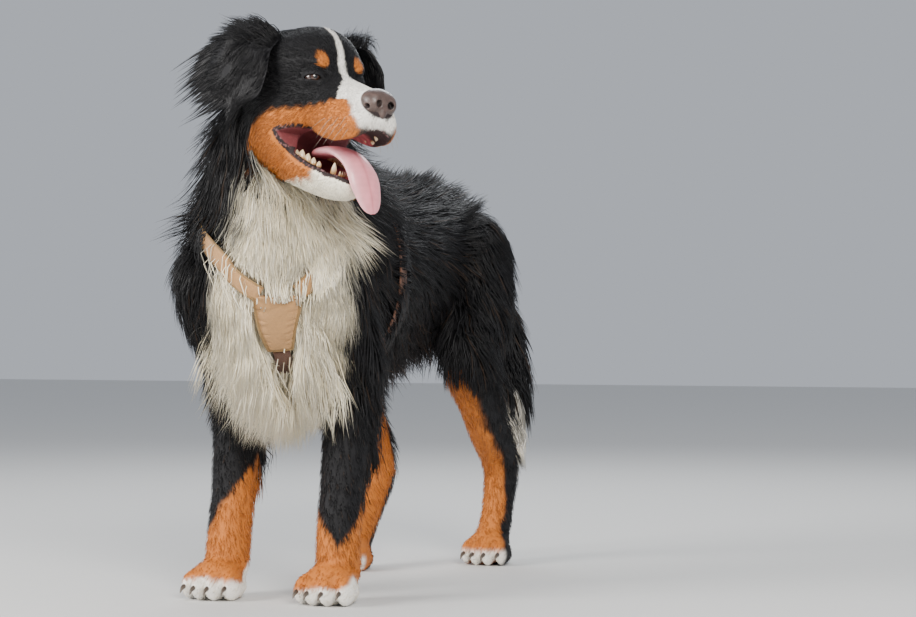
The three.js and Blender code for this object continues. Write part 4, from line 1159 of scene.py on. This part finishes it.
def cord(name, path, radius, columns=10):
    """A round cord on a path, with the lay of its strands."""
    along = unit(np.gradient(path, axis=0))
    out = np.array([0.35, -0.7, 0.6])
    across = unit(np.cross(along, out))
    up = np.cross(across, along)
    run = np.concatenate([[0], np.cumsum(np.linalg.norm(np.diff(path, axis=0), axis=1))])
    turn = np.arange(columns) * 2 * math.pi / columns
    ends = np.clip(np.minimum(run, run[-1] - run) / radius, 0.05, 1) ** 0.5
    ridges = 1 + 0.12 * np.sin(2 * turn[None, :] + run[:, None] * 2.4)
    spoke = across[:, None] * np.cos(turn)[None, :, None] + up[:, None] * np.sin(turn)[None, :, None]
    points = path[:, None] + spoke * (radius * ends[:, None] * ridges)[:, :, None]
    thing = put(name, points.reshape(-1, 3), quads_of_rings(len(path), columns), edge_cloth, "harness_cloth")
    unfold(thing, "Cloth", np.stack(pairs(run * 0.001, turn * radius * 0.001), 1))


PITCH = 3.4  # from stitch to stitch


def stitches(name, band, top, inset, first, last, slot, colour):
    """Thread near both edges, a share inset of the half-width out, from a first to a last share along."""
    number = int(band_length(band) * (last - first) / PITCH)
    t = np.linspace(first, last, number)
    half_stitch = 0.36 * PITCH / band_length(band)
    points = []
    for edge in BOTH:
        side = np.full(number, edge * inset)
        sections = []
        for share, spread, over_it in ((-1.0, 0, -0.5), (-0.35, 1, 0.35), (0.35, 1, 0.35), (1.0, 0, -0.5)):
            here = np.clip(t + share * half_stitch, 0, 1)
            middle = band.place(here, side, top(here, side) + over_it)
            offset = 0.55 * spread * band.across[(here * (len(band.across) - 1)).astype(int)]
            sections.append(np.stack([middle - offset, middle + offset + 1e-3], 1))
        points.append(np.stack(sections, 1).reshape(-1, 3))
    quads = np.array([(0, 1, 3, 2), (2, 3, 5, 4), (4, 5, 7, 6), (0, 2, 4, 6), (1, 7, 5, 3)])
    faces = quads[None] + (np.arange(2 * number) * 8)[:, None, None]
    put(name, np.vstack(points), faces.reshape(-1, 4), colour, slot, smooth=False)


def pad_top(band, full, flat_ends):
    """The height of a padded piece: full in the middle, pinched at the stitched margin, with puckers."""
    run = band_length(band)

    def height(t, side):
        ends = rise(0, 0.09, t) * rise(1.0, 0.91, t) if flat_ends else rise(1.0, 0.93, t) * 0.5 + 0.5
        bulge = np.maximum(1 - np.abs(side) ** 5, 0) ** 0.6 * ends
        line = np.exp(-(((np.abs(side) - 0.84) / 0.05) ** 2))
        pinch = 0.55 + 0.45 * np.cos(2 * math.pi * t * run / PITCH)
        lie = 2 * math.pi * t * run / 12.5 + 2.2 * np.abs(side) + 0.9 * np.sin(t * 31)
        near_edge = rise(0.3, 0.74, np.abs(side)) * rise(0.93, 0.84, np.abs(side))
        gathers = (np.abs(np.sin(lie / 2)) ** 0.6 - 0.75) * near_edge
        slack = (np.sin(5 * t + 2.2 * side) + np.sin(11 * t - 4.1 * side)) * 0.3
        return 1.2 + (full - 1.9) * bulge - line * (1.1 + 0.5 * pinch) + 2.3 * gathers + slack * bulge

    return height


def strap_top(band, full):
    run = band_length(band)

    def height(t, side):
        bulge = np.maximum(1 - np.abs(side) ** 4, 0) ** 0.5
        line = np.exp(-(((np.abs(side) - 0.7) / 0.07) ** 2))
        pucker = np.sin(2 * math.pi * t * run / 6.0 + side) * 0.18
        return 1.2 + (full - 1.6) * bulge - 0.7 * line + pucker * bulge

    return height


sunk = lambda t, side: np.full(len(t), 0.9 - BEDDING)
flat_top = lambda t, side: WEBBING - 1.2 - 0.9 * np.abs(side) ** 6
flat_bottom = lambda t, side: np.full(len(t), 0.6)

padded_cloth = (tan_cloth, "harness_cloth")
flat_webbing = (webbing_cloth, "harness_webbing")
plate_top = pad_top(plate, PADDING, False)
plate_pad = laid_band("harness_plate_pad", plate, plate_top, sunk, padded_cloth, ["harness_plate"], 90, 56)
back_top = pad_top(back_piece, PADDING, True)
back_pad = laid_band("harness_back_pad", back_piece, back_top, sunk, padded_cloth, ["harness_back"], 60, 44)

EDGE_SIDE, EDGE_HEIGHT = 0.97, 3.4


def corded_edge(name, band, radius, runs):
    """A cord round the edge of a padded piece, by runs of shares along and across."""
    path = []
    for t, side in runs:
        t, side = np.broadcast_arrays(t, side)
        path.append(band.place(t, side, np.full(len(t), EDGE_HEIGHT)))
    cord(name, np.vstack(path), radius)


def end_of(count):
    """Shares across the end of a padded piece, without its corners."""
    return np.linspace(EDGE_SIDE, -EDGE_SIDE, count)[1:-1]


share = np.linspace(0, 1, 70)
down, up = (share, EDGE_SIDE), (share[::-1], -EDGE_SIDE)
corded_edge("plate_edge", plate, 2.3, [down, (1.0, end_of(26)), up])
corded_edge("back_edge", back_piece, 2.2, [down, (1.0, end_of(32)), up, (0.0, -end_of(32))])
for s in BOTH:
    side = SIDE[s]
    band = straps[s]
    top = strap_top(band, WEBBING)
    node = f"harness_strap_{side}"
    laid_band(f"{node}_cloth", band, top, flat_bottom, padded_cloth, [node], 130, 14)
    for edge in BOTH:
        line = band.place(np.linspace(0, 1, 110), np.full(110, edge * 0.95), np.full(110, 2.6))
        cord(f"strap_edge_{side}_{'in' if edge > 0 else 'out'}", line, 1.5, 8)
    stitches(f"strap_stitches_{side}", band, top, 0.7, 0.02, 0.98, "harness_cloth", thread)
    node = f"harness_girth_{side}"
    laid_band(f"{node}_webbing", girths[s], flat_top, flat_bottom, flat_webbing, [node], 90, 10)
    stitches(f"girth_stitches_{side}", girths[s], flat_top, 0.82, 0.02, 0.98, "harness_webbing", dark_thread)
node = "harness_breast_strap"
laid_band("harness_breast_webbing", breast_strap, flat_top, flat_bottom, flat_webbing, [node], 100, 12)
stitches("plate_stitches", plate, plate_top, 0.84, 0.03, 0.95, "harness_cloth", thread)
stitches("back_stitches", back_piece, back_top, 0.84, 0.03, 0.95, "harness_cloth", thread)
stitches("breast_stitches", breast_strap, flat_top, 0.8, 0.0, 0.96, "harness_webbing", dark_thread)

# Coat. A long, slightly wavy, glossy coat over a dense one, short on the face and the front of the
# legs. Hair grows in tufts that lie the way they grow: each tuft is a thin tapered blade of hair.

REACH_LOW, REACH_HIGH, CELL = np.array([-250.0, -310, -14]), np.array([250.0, 800, 890]), 9.0


def near_form(q):
    """The skin of the whole dog, the head with it."""
    d = body_part(q)
    local = into_head(q)
    near = (np.abs(local) < 240).all(1)
    d[near] = np.minimum(d[near], head_part(local[near]))
    return d


class Sampled:
    def __init__(self, field, low, high, cell):
        axes = [np.arange(a, b, cell) for a, b in zip(low, high)]
        self.low, self.cell = np.array(low, float), cell
        grid = np.stack(np.meshgrid(*axes, indexing="ij"), -1)
        self.value = field(grid.reshape(-1, 3)).reshape(grid.shape[:3])
        self.slope = np.stack(np.gradient(self.value, cell), -1)

    def __call__(self, q):
        at = np.clip((q - self.low) / self.cell, 0, np.array(self.value.shape) - 1.001)
        k = at.astype(int)
        f = at - k
        d, way = 0.0, 0.0
        for i in (0, 1):
            for j in (0, 1):
                for m in (0, 1):
                    share = abs(1 - i - f[:, 0]) * abs(1 - j - f[:, 1]) * abs(1 - m - f[:, 2])
                    spot = (k[:, 0] + i, k[:, 1] + j, k[:, 2] + m)
                    d = d + share * self.value[spot]
                    way = way + share[:, None] * self.slope[spot]
        return unit(way), d


around = Sampled(near_form, REACH_LOW, REACH_HIGH, CELL)


def scatter(points, quads, weight, count, rng):
    a, b, c, d = (points[quads[:, i]] for i in range(4))
    area = np.linalg.norm(np.cross(c - a, d - b), axis=1)
    chance = area * weight((a + b + c + d) / 4)
    pick = rng.choice(len(quads), count, p=chance / chance.sum())
    u, v = rng.random((2, count, 1))
    return mix(mix(a[pick], b[pick], u), mix(d[pick], c[pick], u), v)


def ways(q, a, b, c):
    """Directions for each point, from parts that are single numbers or one for each point."""
    return np.stack([np.broadcast_to(part, len(q)) for part in (a, b, c)], 1).astype(float)


def waves(q, size, seed):
    return np.stack([ripple(q, size, seed + i) for i in range(3)], 1)


def comb(roots, way, length, lift, loose, wave, steps, rng, field=None):
    """Paths of tufts from their roots: they run the way they lie, at a height over the skin."""
    field = field or around
    out, _ = field(roots)
    first = out
    path = [roots - out * 1.2]
    p = roots
    stray = rng.normal(size=roots.shape) * 0.5
    for k in range(1, steps + 1):
        share = k / steps
        heading = way + wave[:, None] * (waves(p, 46, 20) * 0.8 + stray * (0.4 + 0.6 * share))
        flat = heading - out * (heading * out).sum(1)[:, None]
        heading = unit(mix(unit(flat), unit(heading), (loose * share)[:, None]))
        p = p + heading * (length / steps)[:, None]
        out, d = field(p)
        push = mix(0.9, lift, share**1.3) - d
        pull = np.where(push > 0, 1.0, 0.85 - 0.85 * np.clip(loose * 1.6, 0, 1))
        p = p + out * (push * pull)[:, None]
        path.append(p)
    return np.stack(path, 1), first


def gather(paths, roots, every, strength, rng):
    """Draws neighbouring tufts together towards their tips, as damp or silky hair does."""
    leaders = rng.choice(len(roots), max(len(roots) // every, 1), replace=False)
    tree = kdtree.KDTree(len(leaders))
    for number, leader in enumerate(leaders):
        tree.insert(roots[leader], number)
    tree.balance()
    nearest = np.array([leaders[tree.find(root)[1]] for root in roots])
    steps = paths.shape[1] - 1
    share = (np.arange(steps + 1) / steps) ** 1.5
    pull = (strength * rng.uniform(0.4, 1.0, len(roots)))[:, None, None] * share[None, :, None]
    return paths + (paths[nearest] - paths) * pull


def covered(band, share):
    """How much of a band the hair from above hides, by the share along it."""
    if band is plate:
        return 0.3 * (share < 0.1)
    if band is straps[-1]:
        return 0.03 + 0.95 * rise(0.27, 0.36, share)
    if band is straps[1]:
        return 0.05 + 0.93 * rise(0.06, 0.14, share)
    if band is back_piece:
        return np.full(len(share), 0.25)
    if band is breast_strap:
        return 0.03 + 0.95 * rise(0.15, 0.3, share)
    return np.ones(len(share))


HAIR_OVER, HAIR_UNDER = DENSE_COAT + 9.5, DENSE_COAT - 9.5  # height over the skin at a band


def under_harness(paths, rng):
    """Hair that meets the harness ends under it, and some from above it lies over it."""
    chance = rng.random(len(paths))
    last = paths.shape[1] - 1
    for band in bands:
        tree = kdtree.KDTree(len(band.line))
        for number, point in enumerate(band.line):
            tree.insert(point, number)
        tree.balance()
        low, high = band.line.min(0) - 45, band.line.max(0) + 45
        ended = np.zeros(len(paths), bool)
        for k in range(1, last + 1):
            for share in (0.5, 1.0):
                spots = mix(paths[:, k - 1], paths[:, k], share)
                near = np.where(~ended & ((spots > low) & (spots < high)).all(1))[0]
                if not len(near):
                    continue
                which = np.array([tree.find(p)[1] for p in spots[near]])
                off = spots[near] - band.line[which]
                side = np.abs((off * band.across[which]).sum(1))
                ahead = np.abs((off * band.along[which]).sum(1))
                hit = (side < band.width[which] / 2 + 2) & (ahead < 8) & (np.linalg.norm(off, axis=1) < 70)
                near, which = near[hit], which[hit]
                over = chance[near] < covered(band, which / (len(band.line) - 1))
                raised = near[over]
                out, d = around(paths[raised, k])
                paths[raised, k] += out * (np.maximum(d, HAIR_OVER) - d)[:, None]
                if band is plate:
                    for after in range(k + 1, last + 1):
                        paths[raised, after] = mix(paths[raised, k], paths[raised, after], 0.4)
                tucked = near[~over]
                out, d = around(spots[tucked])
                paths[tucked, k] = spots[tucked] + out * (np.minimum(d, HAIR_UNDER) - d)[:, None]
                for after in range(k + 1, last + 1):
                    paths[tucked, after] = mix(paths[tucked, k], paths[tucked, after - 1], -0.04)
                ended[tucked] = True
    return paths


def tuft_mesh(paths, out, width, thick):
    """Closed blades of three sides with a ridge, tapered to a tip. Returns points and triangles."""
    count, rows = paths.shape[0], paths.shape[1] - 1
    along = unit(np.gradient(paths, axis=1))
    across = unit(np.cross(along, out[:, None]))
    up = np.cross(across, along)
    share = np.arange(rows) / rows
    profile = np.interp(share, [0, 0.25, 0.6, 1], [0.75, 1, 0.78, 0])
    half = (width / 2)[:, None, None] * profile[None, :, None]
    ridge = thick[:, None, None] * profile[None, :, None]
    base, aside = paths[:, :rows], across[:, :rows] * half
    ring = np.stack([base - aside, base + up[:, :rows] * ridge, base + aside], 2)
    points = np.concatenate([ring.reshape(count, rows * 3, 3), paths[:, rows:]], 1)
    faces = [(0, 1, 2)]
    for r in range(rows - 1):
        for k in range(3):
            a, b = 3 * r + k, 3 * r + (k + 1) % 3
            faces += [(a, a + 3, b), (b, a + 3, b + 3)]
    last = 3 * (rows - 1)
    faces += [(last + k, 3 * rows, last + (k + 1) % 3) for k in range(3)]
    faces = np.array(faces)[None] + (np.arange(count) * points.shape[1])[:, None, None]
    return points.reshape(-1, 3), faces.reshape(-1, 3)


# Charts for the coat's own map: each part of the skin is unrolled along and about its middle line.
head_line = Limb([[0, 120, 10, 60], [0, 0, 0, 60], [0, -80, -20, 50], [0, -200, -50, 40]])
charts = [trunk, neck, foreleg[1], foreleg[-1], hindleg[1], hindleg[-1], tail, head_line]
ON_TRUNK, ON_NECK, ON_FORELEGS, ON_HINDLEGS, ON_TAIL, ON_HEAD = 0, 1, (2, 3), (4, 5), 6, 7


def part_of(q):
    return np.argmin(np.stack([form(q) for form in charts[:ON_HEAD]], 1), 1)


def unrolled(q, part):
    uv = np.zeros((len(q), 2))
    for number, form in enumerate(charts):
        mine = part == number
        if mine.any():
            _, share, angle = form.measure(into_head(q[mine]) if number == ON_HEAD else q[mine])
            column, row = number % 4, number // 4
            uv[mine, 0] = (column + 0.04 + 0.92 * share) / 4
            uv[mine, 1] = (row + 0.04 + 0.92 * (angle / (2 * math.pi) + 0.5)) / 3
    return uv


fullness = 1.0
LIMIT = 190000  # triangles to a piece
STRAY = 18  # how far hair may pass the solids' box


def varied(width, rng):
    """Widths of tufts, no two the same, and wider where there are fewer."""
    return width * rng.uniform(0.7, 1.3, len(width)) / math.sqrt(max(fullness, 0.5))


def grow(name, paths, out, width, colours, tone, part, slot):
    """Coat pieces of under 200,000 triangles with their colours and their own map."""
    low, high = (np.array(corner) * 1000 + MIDDLE for corner in cad_box)
    paths = np.clip(paths, low - (STRAY, STRAY, 0), high + STRAY)
    rows = paths.shape[1] - 1
    limit = LIMIT // (6 * rows - 2)
    spots = unrolled(paths[:, 0], part)
    for number, start in enumerate(range(0, len(paths), limit)):
        cut = slice(start, start + limit)
        points, faces = tuft_mesh(paths[cut], out[cut], width[cut], width[cut] * 0.3)
        piece = put(f"{name}_{number + 1}", points, faces, coat, slot)
        share = np.append(np.repeat(np.arange(rows) / rows, 3), 1.0)
        # Each tuft is painted darker at its root, as painted shade deep in the coat, and lighter towards its
        # tip; pale tufts less so.
        pale = (colours[cut].mean(1) > 0.3)[:, None]
        light = tone[cut][:, None] * mix(np.where(pale, 0.9, 0.7), np.where(pale, 1.04, 1.15), share[None, :])
        paint(piece, (colours[cut][:, None, :] * light[:, :, None]).reshape(-1, 3))
        across = np.append(np.tile([-1.0, 0.0, 1.0], rows), 0.0)
        patch = np.stack([across, share * 2 - 1], 1) * 0.0015
        unfold(piece, "OFBake", (spots[cut][:, None, :] + patch[None]).reshape(-1, 2))


coat = finish("coat", "Markings_and_shade", 0.45, 700, 0.15, 0.2, (1, 1, 0.3), Specular_IOR_Level=0.3)


def body_way(q, out, part):
    """The way the body's hair lies."""
    x, y, z = q.T
    lie = lambda a, b, c: ways(x, a, b, c)
    low = rise(620, 400, z)
    way = lie(0.0, mix(1.0, 0.45, low), mix(-0.12, -0.95, low))
    front = lie((x - 30) / 420, -0.05, -1.0)
    way = mix(way, front, rise(20, -70, y)[:, None])
    nape = rise(-0.6, 0.3, out[:, 1])
    on_neck = mix(lie((x - 40) / 350, -0.08, -1.0), lie(-0.12, 0.62, -0.85), nape[:, None])
    way = np.where((part == ON_NECK)[:, None], on_neck, way)
    fore = np.isin(part, ON_FORELEGS)
    behind = rise(0.1, 0.8, out[:, 1])
    way = np.where(fore[:, None], lie(0.0, mix(0.12, 0.5, behind), -1.0), way)
    hind = np.isin(part, ON_HINDLEGS)
    way = np.where(hind[:, None], lie(0.0, mix(0.15, 0.45, rise(240, 420, z)), -1.0), way)
    on_foot = (fore | hind) & (z < 62)
    way = np.where(on_foot[:, None], lie(0.0, -0.9, -0.5), way)
    way = np.where((part == ON_TAIL)[:, None], lie(0.12, 0.16, -1.0), way)
    return unit(way)


def body_length(q, out, part):
    """The length of the body's hair, millimetres."""
    _, y, z = q.T
    length = mix(56.0, 84.0, rise(560, 400, z))
    length = mix(length, mix(88.0, 162.0, rise(490, 400, z)), rise(0, -70, y))
    length = length + 62 * rise(470, 420, z) * rise(0.1, -0.6, out[:, 2]) * rise(-60, 20, y)
    length = np.where(part == ON_NECK, mix(96.0, 70.0, rise(650, 760, z)), length)
    fore = np.isin(part, ON_FORELEGS)
    behind = rise(0.0, 0.7, out[:, 1])
    leg = 13 + 66 * rise(235, 380, z) + 88 * behind * rise(110, 250, z) * rise(400, 340, z)
    length = np.where(fore, leg, length)
    hind = np.isin(part, ON_HINDLEGS)
    leg = 13 + 62 * rise(290, 420, z) + 34 * behind * rise(110, 240, z) + 22 * behind * rise(380, 460, z)
    length = np.where(hind, leg, length)
    length = np.where((fore | hind) & (z < 62), 8.0, length)
    return np.where(part == ON_TAIL, 92.0, length)


def body_coat():
    rng = np.random.default_rng(5)
    quads = body_quads[kept_faces]
    in_bib = lambda c: body_markings(c).mean(1) > 0.3
    is_long = lambda c: body_length(c, around(c)[0], part_of(c)) > 30
    for name, weight, count, steps, slot in (
        ("bib_coat", lambda c: 1.0 * is_long(c) * in_bib(c), 19000, 3, "white_coat"),
        ("long_coat", lambda c: 1.0 * is_long(c) * ~in_bib(c), 24000, 4, "black_coat"),
        ("leg_coat", lambda c: 1.0 * ~is_long(c), 13000, 2, "rust_coat"),
    ):
        roots = scatter(body_points, quads, weight, int(count * fullness), rng)
        out, _ = around(roots)
        part = part_of(roots)
        length = body_length(roots, out, part) * rng.uniform(0.75, 1.2, len(roots))
        way = body_way(roots, out, part)
        long_hair = rise(25, 90, length)
        colours = body_markings(roots)
        pale = colours.mean(1) > 0.3
        free = rise(0.2, -0.5, out[:, 2]) + rise(0, -60, roots[:, 1])
        hanging = long_hair * np.where(out[:, 2] < 0.1, 0.5, 0.25) * np.where(part == ON_TRUNK, free, 1.0)
        below = (part == ON_TRUNK) * rise(0.1, -0.5, out[:, 2])
        hanging = np.clip(hanging, 0, 0.6) + 0.35 * long_hair * below
        on_back = (part == ON_TRUNK) * rise(0.1, 0.7, out[:, 2]) * rise(120, 300, roots[:, 1])
        on_nape = (part == ON_NECK) * rise(-0.85, -0.35, out[:, 1]) * rise(560, 620, roots[:, 2])
        stands = mix(np.where(pale, 0.2, 0.27), 0.58, np.maximum(on_back, on_nape))
        lift = np.maximum(1.8, stands * length) * rng.uniform(0.5, 1.25, len(roots))
        wave = mix(0.12, np.where(pale, 0.26, 0.36), long_hair)
        paths, first = comb(roots, way, length, lift, hanging, wave, steps, rng)
        if steps > 2:
            paths = gather(paths, roots, 9, np.where(pale, 0.35, 0.75), rng)
            paths = under_harness(paths, rng)
        paths[:, :, 2] = np.maximum(paths[:, :, 2], 1.0)
        width = varied(mix(1.4, np.where(pale, 1.9, 3.0), long_hair), rng)
        warm = rng.uniform(0, 1, len(roots))[:, None]
        tint = mix(np.array([1.02, 1.02, 1.04]), np.array([1.0, 0.95, 0.82]), warm)
        colours = np.where(pale[:, None], np.minimum(colours * tint, 0.97), colours)
        dark = (colours.mean(1) < 0.03) & (rng.random(len(roots)) < 0.06)
        colours = np.where(dark[:, None], (0.035, 0.02, 0.012), colours)
        tone = np.where(pale, rng.uniform(0.92, 1.06, len(roots)), rng.uniform(0.75, 1.25, len(roots)))
        grow(name, paths, first, width, colours, tone, part, slot)


def head_way(p):
    """The way the head's hair lies, in its own frame."""
    x, y, z = p.T
    lie = lambda a, b, c: ways(x, a, b, c)
    side = np.clip(x / 60, -1, 1)
    way = lie(side * 0.35, 0.95, mix(0.45, -0.1, rise(-20, 40, y)))
    low = rise(10, -50, z)
    way = mix(way, lie(side * 0.15, 0.85, -0.55), low[:, None])
    way = mix(way, lie(side * 0.1, 0.5, -1.0), (rise(-30, 30, y) * rise(-20, -60, z))[:, None])
    front = rise(-165, -190, y)
    return unit(mix(way, lie(side * 0.8, 0.3, -0.7), front[:, None]))


def head_length(p):
    _, y, z = p.T
    length = mix(4.5, 11.0, rise(-140, -40, y))
    length = mix(length, 20.0, rise(-45, 10, y))
    length = mix(length, 48.0, rise(5, 50, y) * rise(30, -40, z))
    length = mix(length, 50.0, rise(-15, 25, y) * rise(55, 78, z))
    return mix(length, 42.0, rise(-110, -140, z) * rise(-60, 20, y))


def head_coat():
    rng = np.random.default_rng(6)
    quads = head_quads[~head_bare[head_quads].any(1)]

    def open_skin(c):
        clear = np.ones(len(c))
        for s in BOTH:
            p = into_slit(c, s)
            near_eye = np.linalg.norm(c - eye_at[s], axis=1) < 20
            clear *= ~((np.abs(p[:, 0]) < 15) & (np.abs(p[:, 2]) < 6.5) & near_eye)
        clear *= nose_form(c) > 1.0
        return clear * (c[:, 1] < 95)

    for name, count, steps, low, high in (("face_coat", 22000, 2, 0, 24), ("head_coat", 6400, 4, 24, 99)):

        def weight(c):
            chosen = (head_length(c) >= low) & (head_length(c) < high)
            return open_skin(c) * chosen * mix(1.7, 1.0, rise(-120, -40, c[:, 1]))

        local = scatter(head_local, quads, weight, int(count * fullness), rng)
        roots = out_of_head(local)
        length = head_length(local) * rng.uniform(0.75, 1.2, len(local))
        way = head_way(local) @ HEAD_AXES.T
        long_hair = rise(15, 50, length)
        crest = rise(48, 70, local[:, 2]) * rise(-10, 25, local[:, 1]) * rise(22, 40, np.abs(local[:, 0]))
        way = unit(way + (crest[:, None] * np.array([0.0, 0.0, 0.9])) @ HEAD_AXES.T)
        lift = mix(0.2, 0.62, crest) * length * rng.uniform(0.6, 1.3, len(roots))
        loose = np.maximum(0.35 * long_hair, 0.7 * crest)
        paths, first = comb(roots, way, length, lift, loose, mix(0.12, 0.3, long_hair), steps, rng, close_up)
        if steps > 2:
            paths = gather(paths, roots, 7, 0.6, rng)
        colours = head_markings(local)
        tone = rng.uniform(0.75, 1.2, len(roots))
        width = varied(mix(0.75, 2.2, rise(5, 50, length)), rng)
        grow(name, paths, first, width, colours, tone, np.full(len(roots), ON_HEAD), "black_coat")


EAR_LENGTH = 100.0  # from root to tip, and about as wide


def ear_coat():
    rng = np.random.default_rng(7)
    for s in BOTH:
        count = int((5000 if s < 0 else 2900) * fullness)
        t = rng.random(count) * 0.97
        w = np.clip(rng.beta(0.85, 0.75, count), 0.0, 1.0)
        side = np.where(rng.random(count) < 0.8, 1.0, -1.0)
        upright = (t < 0.24) & (rng.random(count) < 0.8)
        out = np.tile(unit(np.array([s, 0, 0.25])), (count, 1)) * side[:, None]
        blown = unit(np.array([s * 0.12, 1.0, -0.3])) if s < 0 else unit(np.array([0.1, 0.5, -0.8]))
        down = unit(np.array([s * 0.1, 0.3, -1.0]))
        back = (0.3 + 0.55 * rise(0.3, 0.9, w)) if s < 0 else np.full(count, 0.15)
        edge = np.maximum(rise(0.75, 0.97, w), rise(0.82, 0.97, t))
        length = mix(30.0, 54.0, edge) * rng.uniform(0.7, 1.2, count)
        length = np.where(upright, mix(54.0, 46.0, w) * rng.uniform(0.7, 1.15, count), length)
        wisp = (w > 0.8) & (t > 0.25) & (rng.random(count) < 0.12) & (s < 0)
        length = np.where(wisp, length * 1.9, length)
        start = [-0.3, 0.3, 0.9] if s < 0 else [0.35, 0.0, 1.0]
        tuft_way = unit(np.array(start) + rng.normal(size=(count, 3)) * 0.16)
        tuft_way = unit(mix(tuft_way, blown, (0.6 * rise(0.3, 0.9, w))[:, None])) if s < 0 else tuft_way
        path, steps = [], 4
        p = ear_point(s, t, w, side) - out
        for k in range(steps + 1):
            share = k / steps
            at_t = t + share * length * (1 - back) / EAR_LENGTH
            at_w = w + share * length * back / EAR_LENGTH
            on_ear = ear_point(s, np.clip(at_t, 0, 1), np.clip(at_w, 0, 1), side)
            past_tip = (np.maximum(at_t - 1, 0) * EAR_LENGTH)[:, None]
            past_edge = (np.maximum(at_w - 1, 0) * EAR_LENGTH)[:, None]
            beyond = down * past_tip + blown * past_edge
            raised = (0.1 * share**0.8 * length - 1.0 * (k == 0))[:, None]
            stray = waves(on_ear, 40, 30) * 3.5 * share + out * raised
            standing = p + (tuft_way + waves(p, 30, 31) * 0.1 * share) * (length / steps)[:, None] * (k > 0)
            tuft_way = unit(tuft_way + np.array([s * 0.10, 0.14, -0.16]))
            p = np.where(upright[:, None], standing, on_ear + beyond + stray)
            path.append(p)
        paths = out_of_head(np.stack(path, 1).reshape(-1, 3)).reshape(count, steps + 1, 3)
        paths = gather(paths, paths[:, 0], 8, 0.7, rng)
        width = varied(mix(1.2, 2.0, edge), rng)
        tone = rng.uniform(0.7, 1.3, count)
        part = np.full(count, ON_HEAD)
        colours = plain(BLACK, paths)
        grow(f"ear_coat_{SIDE[s]}", paths, out @ HEAD_AXES.T, width, colours, tone, part, "black_coat")


close_up = Sampled(near_form, HEAD_AT - 235, HEAD_AT + 235, 4.5)
body_coat()
head_coat()
ear_coat()

# Whiskers. Stiff single hairs in rows on the upper lip and some under the chin.
# Each one is rooted in the skin by itself and curves back and down to a fine tip.


def whiskers():
    rng = np.random.default_rng(8)
    roots, ways_out, lengths = [], [], []
    for s in BOTH:
        for row in range(3):
            for column in range(4):
                roots.append([s * 44, -126 - 14 * column - 3 * row, -58 - 9 * row])
                ways_out.append([s * 0.7, 0.25 - 0.12 * column, -0.6 - 0.15 * row])
                lengths.append(32 - 3 * column)
        for k in range(3):
            roots.append([s * (6 + 8 * k), -128 + 10 * k, -140])
            ways_out.append([s * 0.25, -0.3, -1.0])
            lengths.append(18)
    roots = settle(head_skin, np.array(roots, float))
    way = unit(np.array(ways_out) + rng.normal(size=roots.shape) * 0.1)
    length = np.array(lengths) * rng.uniform(0.8, 1.15, len(roots))
    path, p = [roots - way * 1.5], roots
    for k in range(6):
        path.append(p)
        way = unit(way + np.array([0.0, 0.07, -0.11]))
        p = p + way * (length / 6)[:, None]
    paths = out_of_head(np.stack(path + [p], 1).reshape(-1, 3)).reshape(len(roots), 8, 3)
    thin = np.full(len(roots), 0.5)
    points, faces = tuft_mesh(paths, plain((0.0, 0.3, 1.0), roots), thin, thin * 0.8)
    bristle = finish("whisker", (0.42, 0.36, 0.29), 0.35, 900, 0.05, 0.15)
    put("whiskers", points, faces, bristle, "white_coat")


whiskers()

# Stage. A pale studio floor, soft boxes, and the photo's viewing angle.

CAMERA_AT = Vector(from_dog(np.array([1581.0, -2886.0, 406.0])))
CAMERA_TURN = math.radians(24.0)
FOCAL, PHOTO_WIDTH, HORIZON_SHIFT = 2100, 916, 29.5  # in the photo's own points
CAMERA_RISE = math.atan(HORIZON_SHIFT / FOCAL)


def soft_box(name, at, towards, size, power, colour):
    lamp = bpy.data.lights.new(name, "AREA")
    lamp.shape = "RECTANGLE"
    lamp.size, lamp.size_y = size
    lamp.energy = power
    lamp.color = colour
    box = bpy.data.objects.new(name, lamp)
    bpy.context.collection.objects.link(box)
    box.location = at
    box.rotation_euler = (Vector(towards) - Vector(at)).to_track_quat("-Z", "Y").to_euler()
    return box


def studio():
    mesh = bpy.data.meshes.new("floor")
    mesh.from_pydata([(-14, -14, 0), (14, -14, 0), (14, 14, 0), (-14, 14, 0)], [], [(0, 1, 2, 3)])
    floor = bpy.data.objects.new("floor", mesh)
    bpy.context.collection.objects.link(floor)
    paper = finish("paper", (0.66, 0.66, 0.65), 0.85, 60, 0.05, 0.03)
    mesh.materials.append(paper)
    world = bpy.data.worlds.new("room")
    world.use_nodes = True
    air = world.node_tree.nodes["Background"]
    air.inputs["Color"].default_value = (0.86, 0.91, 1.0, 1)
    air.inputs["Strength"].default_value = 0.55
    bpy.context.scene.world = world
    lights = [
        soft_box("key", (2.4, -3.0, 2.3), (0.1, -0.1, 0.5), (1.6, 1.6), 205, (1.0, 0.96, 0.90)),
        soft_box("fill", (-2.4, -2.9, 1.8), (0, 0, 0.45), (1.8, 1.8), 185, (1.0, 0.97, 0.93)),
        soft_box("rim", (-0.6, 2.4, 2.7), (0, 0, 0.6), (2.0, 1.2), 60, (0.95, 0.98, 1.0)),
    ]
    lens = bpy.data.cameras.new("camera")
    lens.sensor_width = 36
    lens.lens = FOCAL / PHOTO_WIDTH * lens.sensor_width
    camera = bpy.data.objects.new("camera", lens)
    bpy.context.collection.objects.link(camera)
    camera.location = CAMERA_AT
    away = Vector(
        (
            -math.sin(CAMERA_TURN) * math.cos(CAMERA_RISE),
            math.cos(CAMERA_TURN) * math.cos(CAMERA_RISE),
            math.sin(CAMERA_RISE),
        )
    )
    camera.rotation_euler = away.to_track_quat("-Z", "Y").to_euler()
    bpy.context.scene.camera = camera


studio()
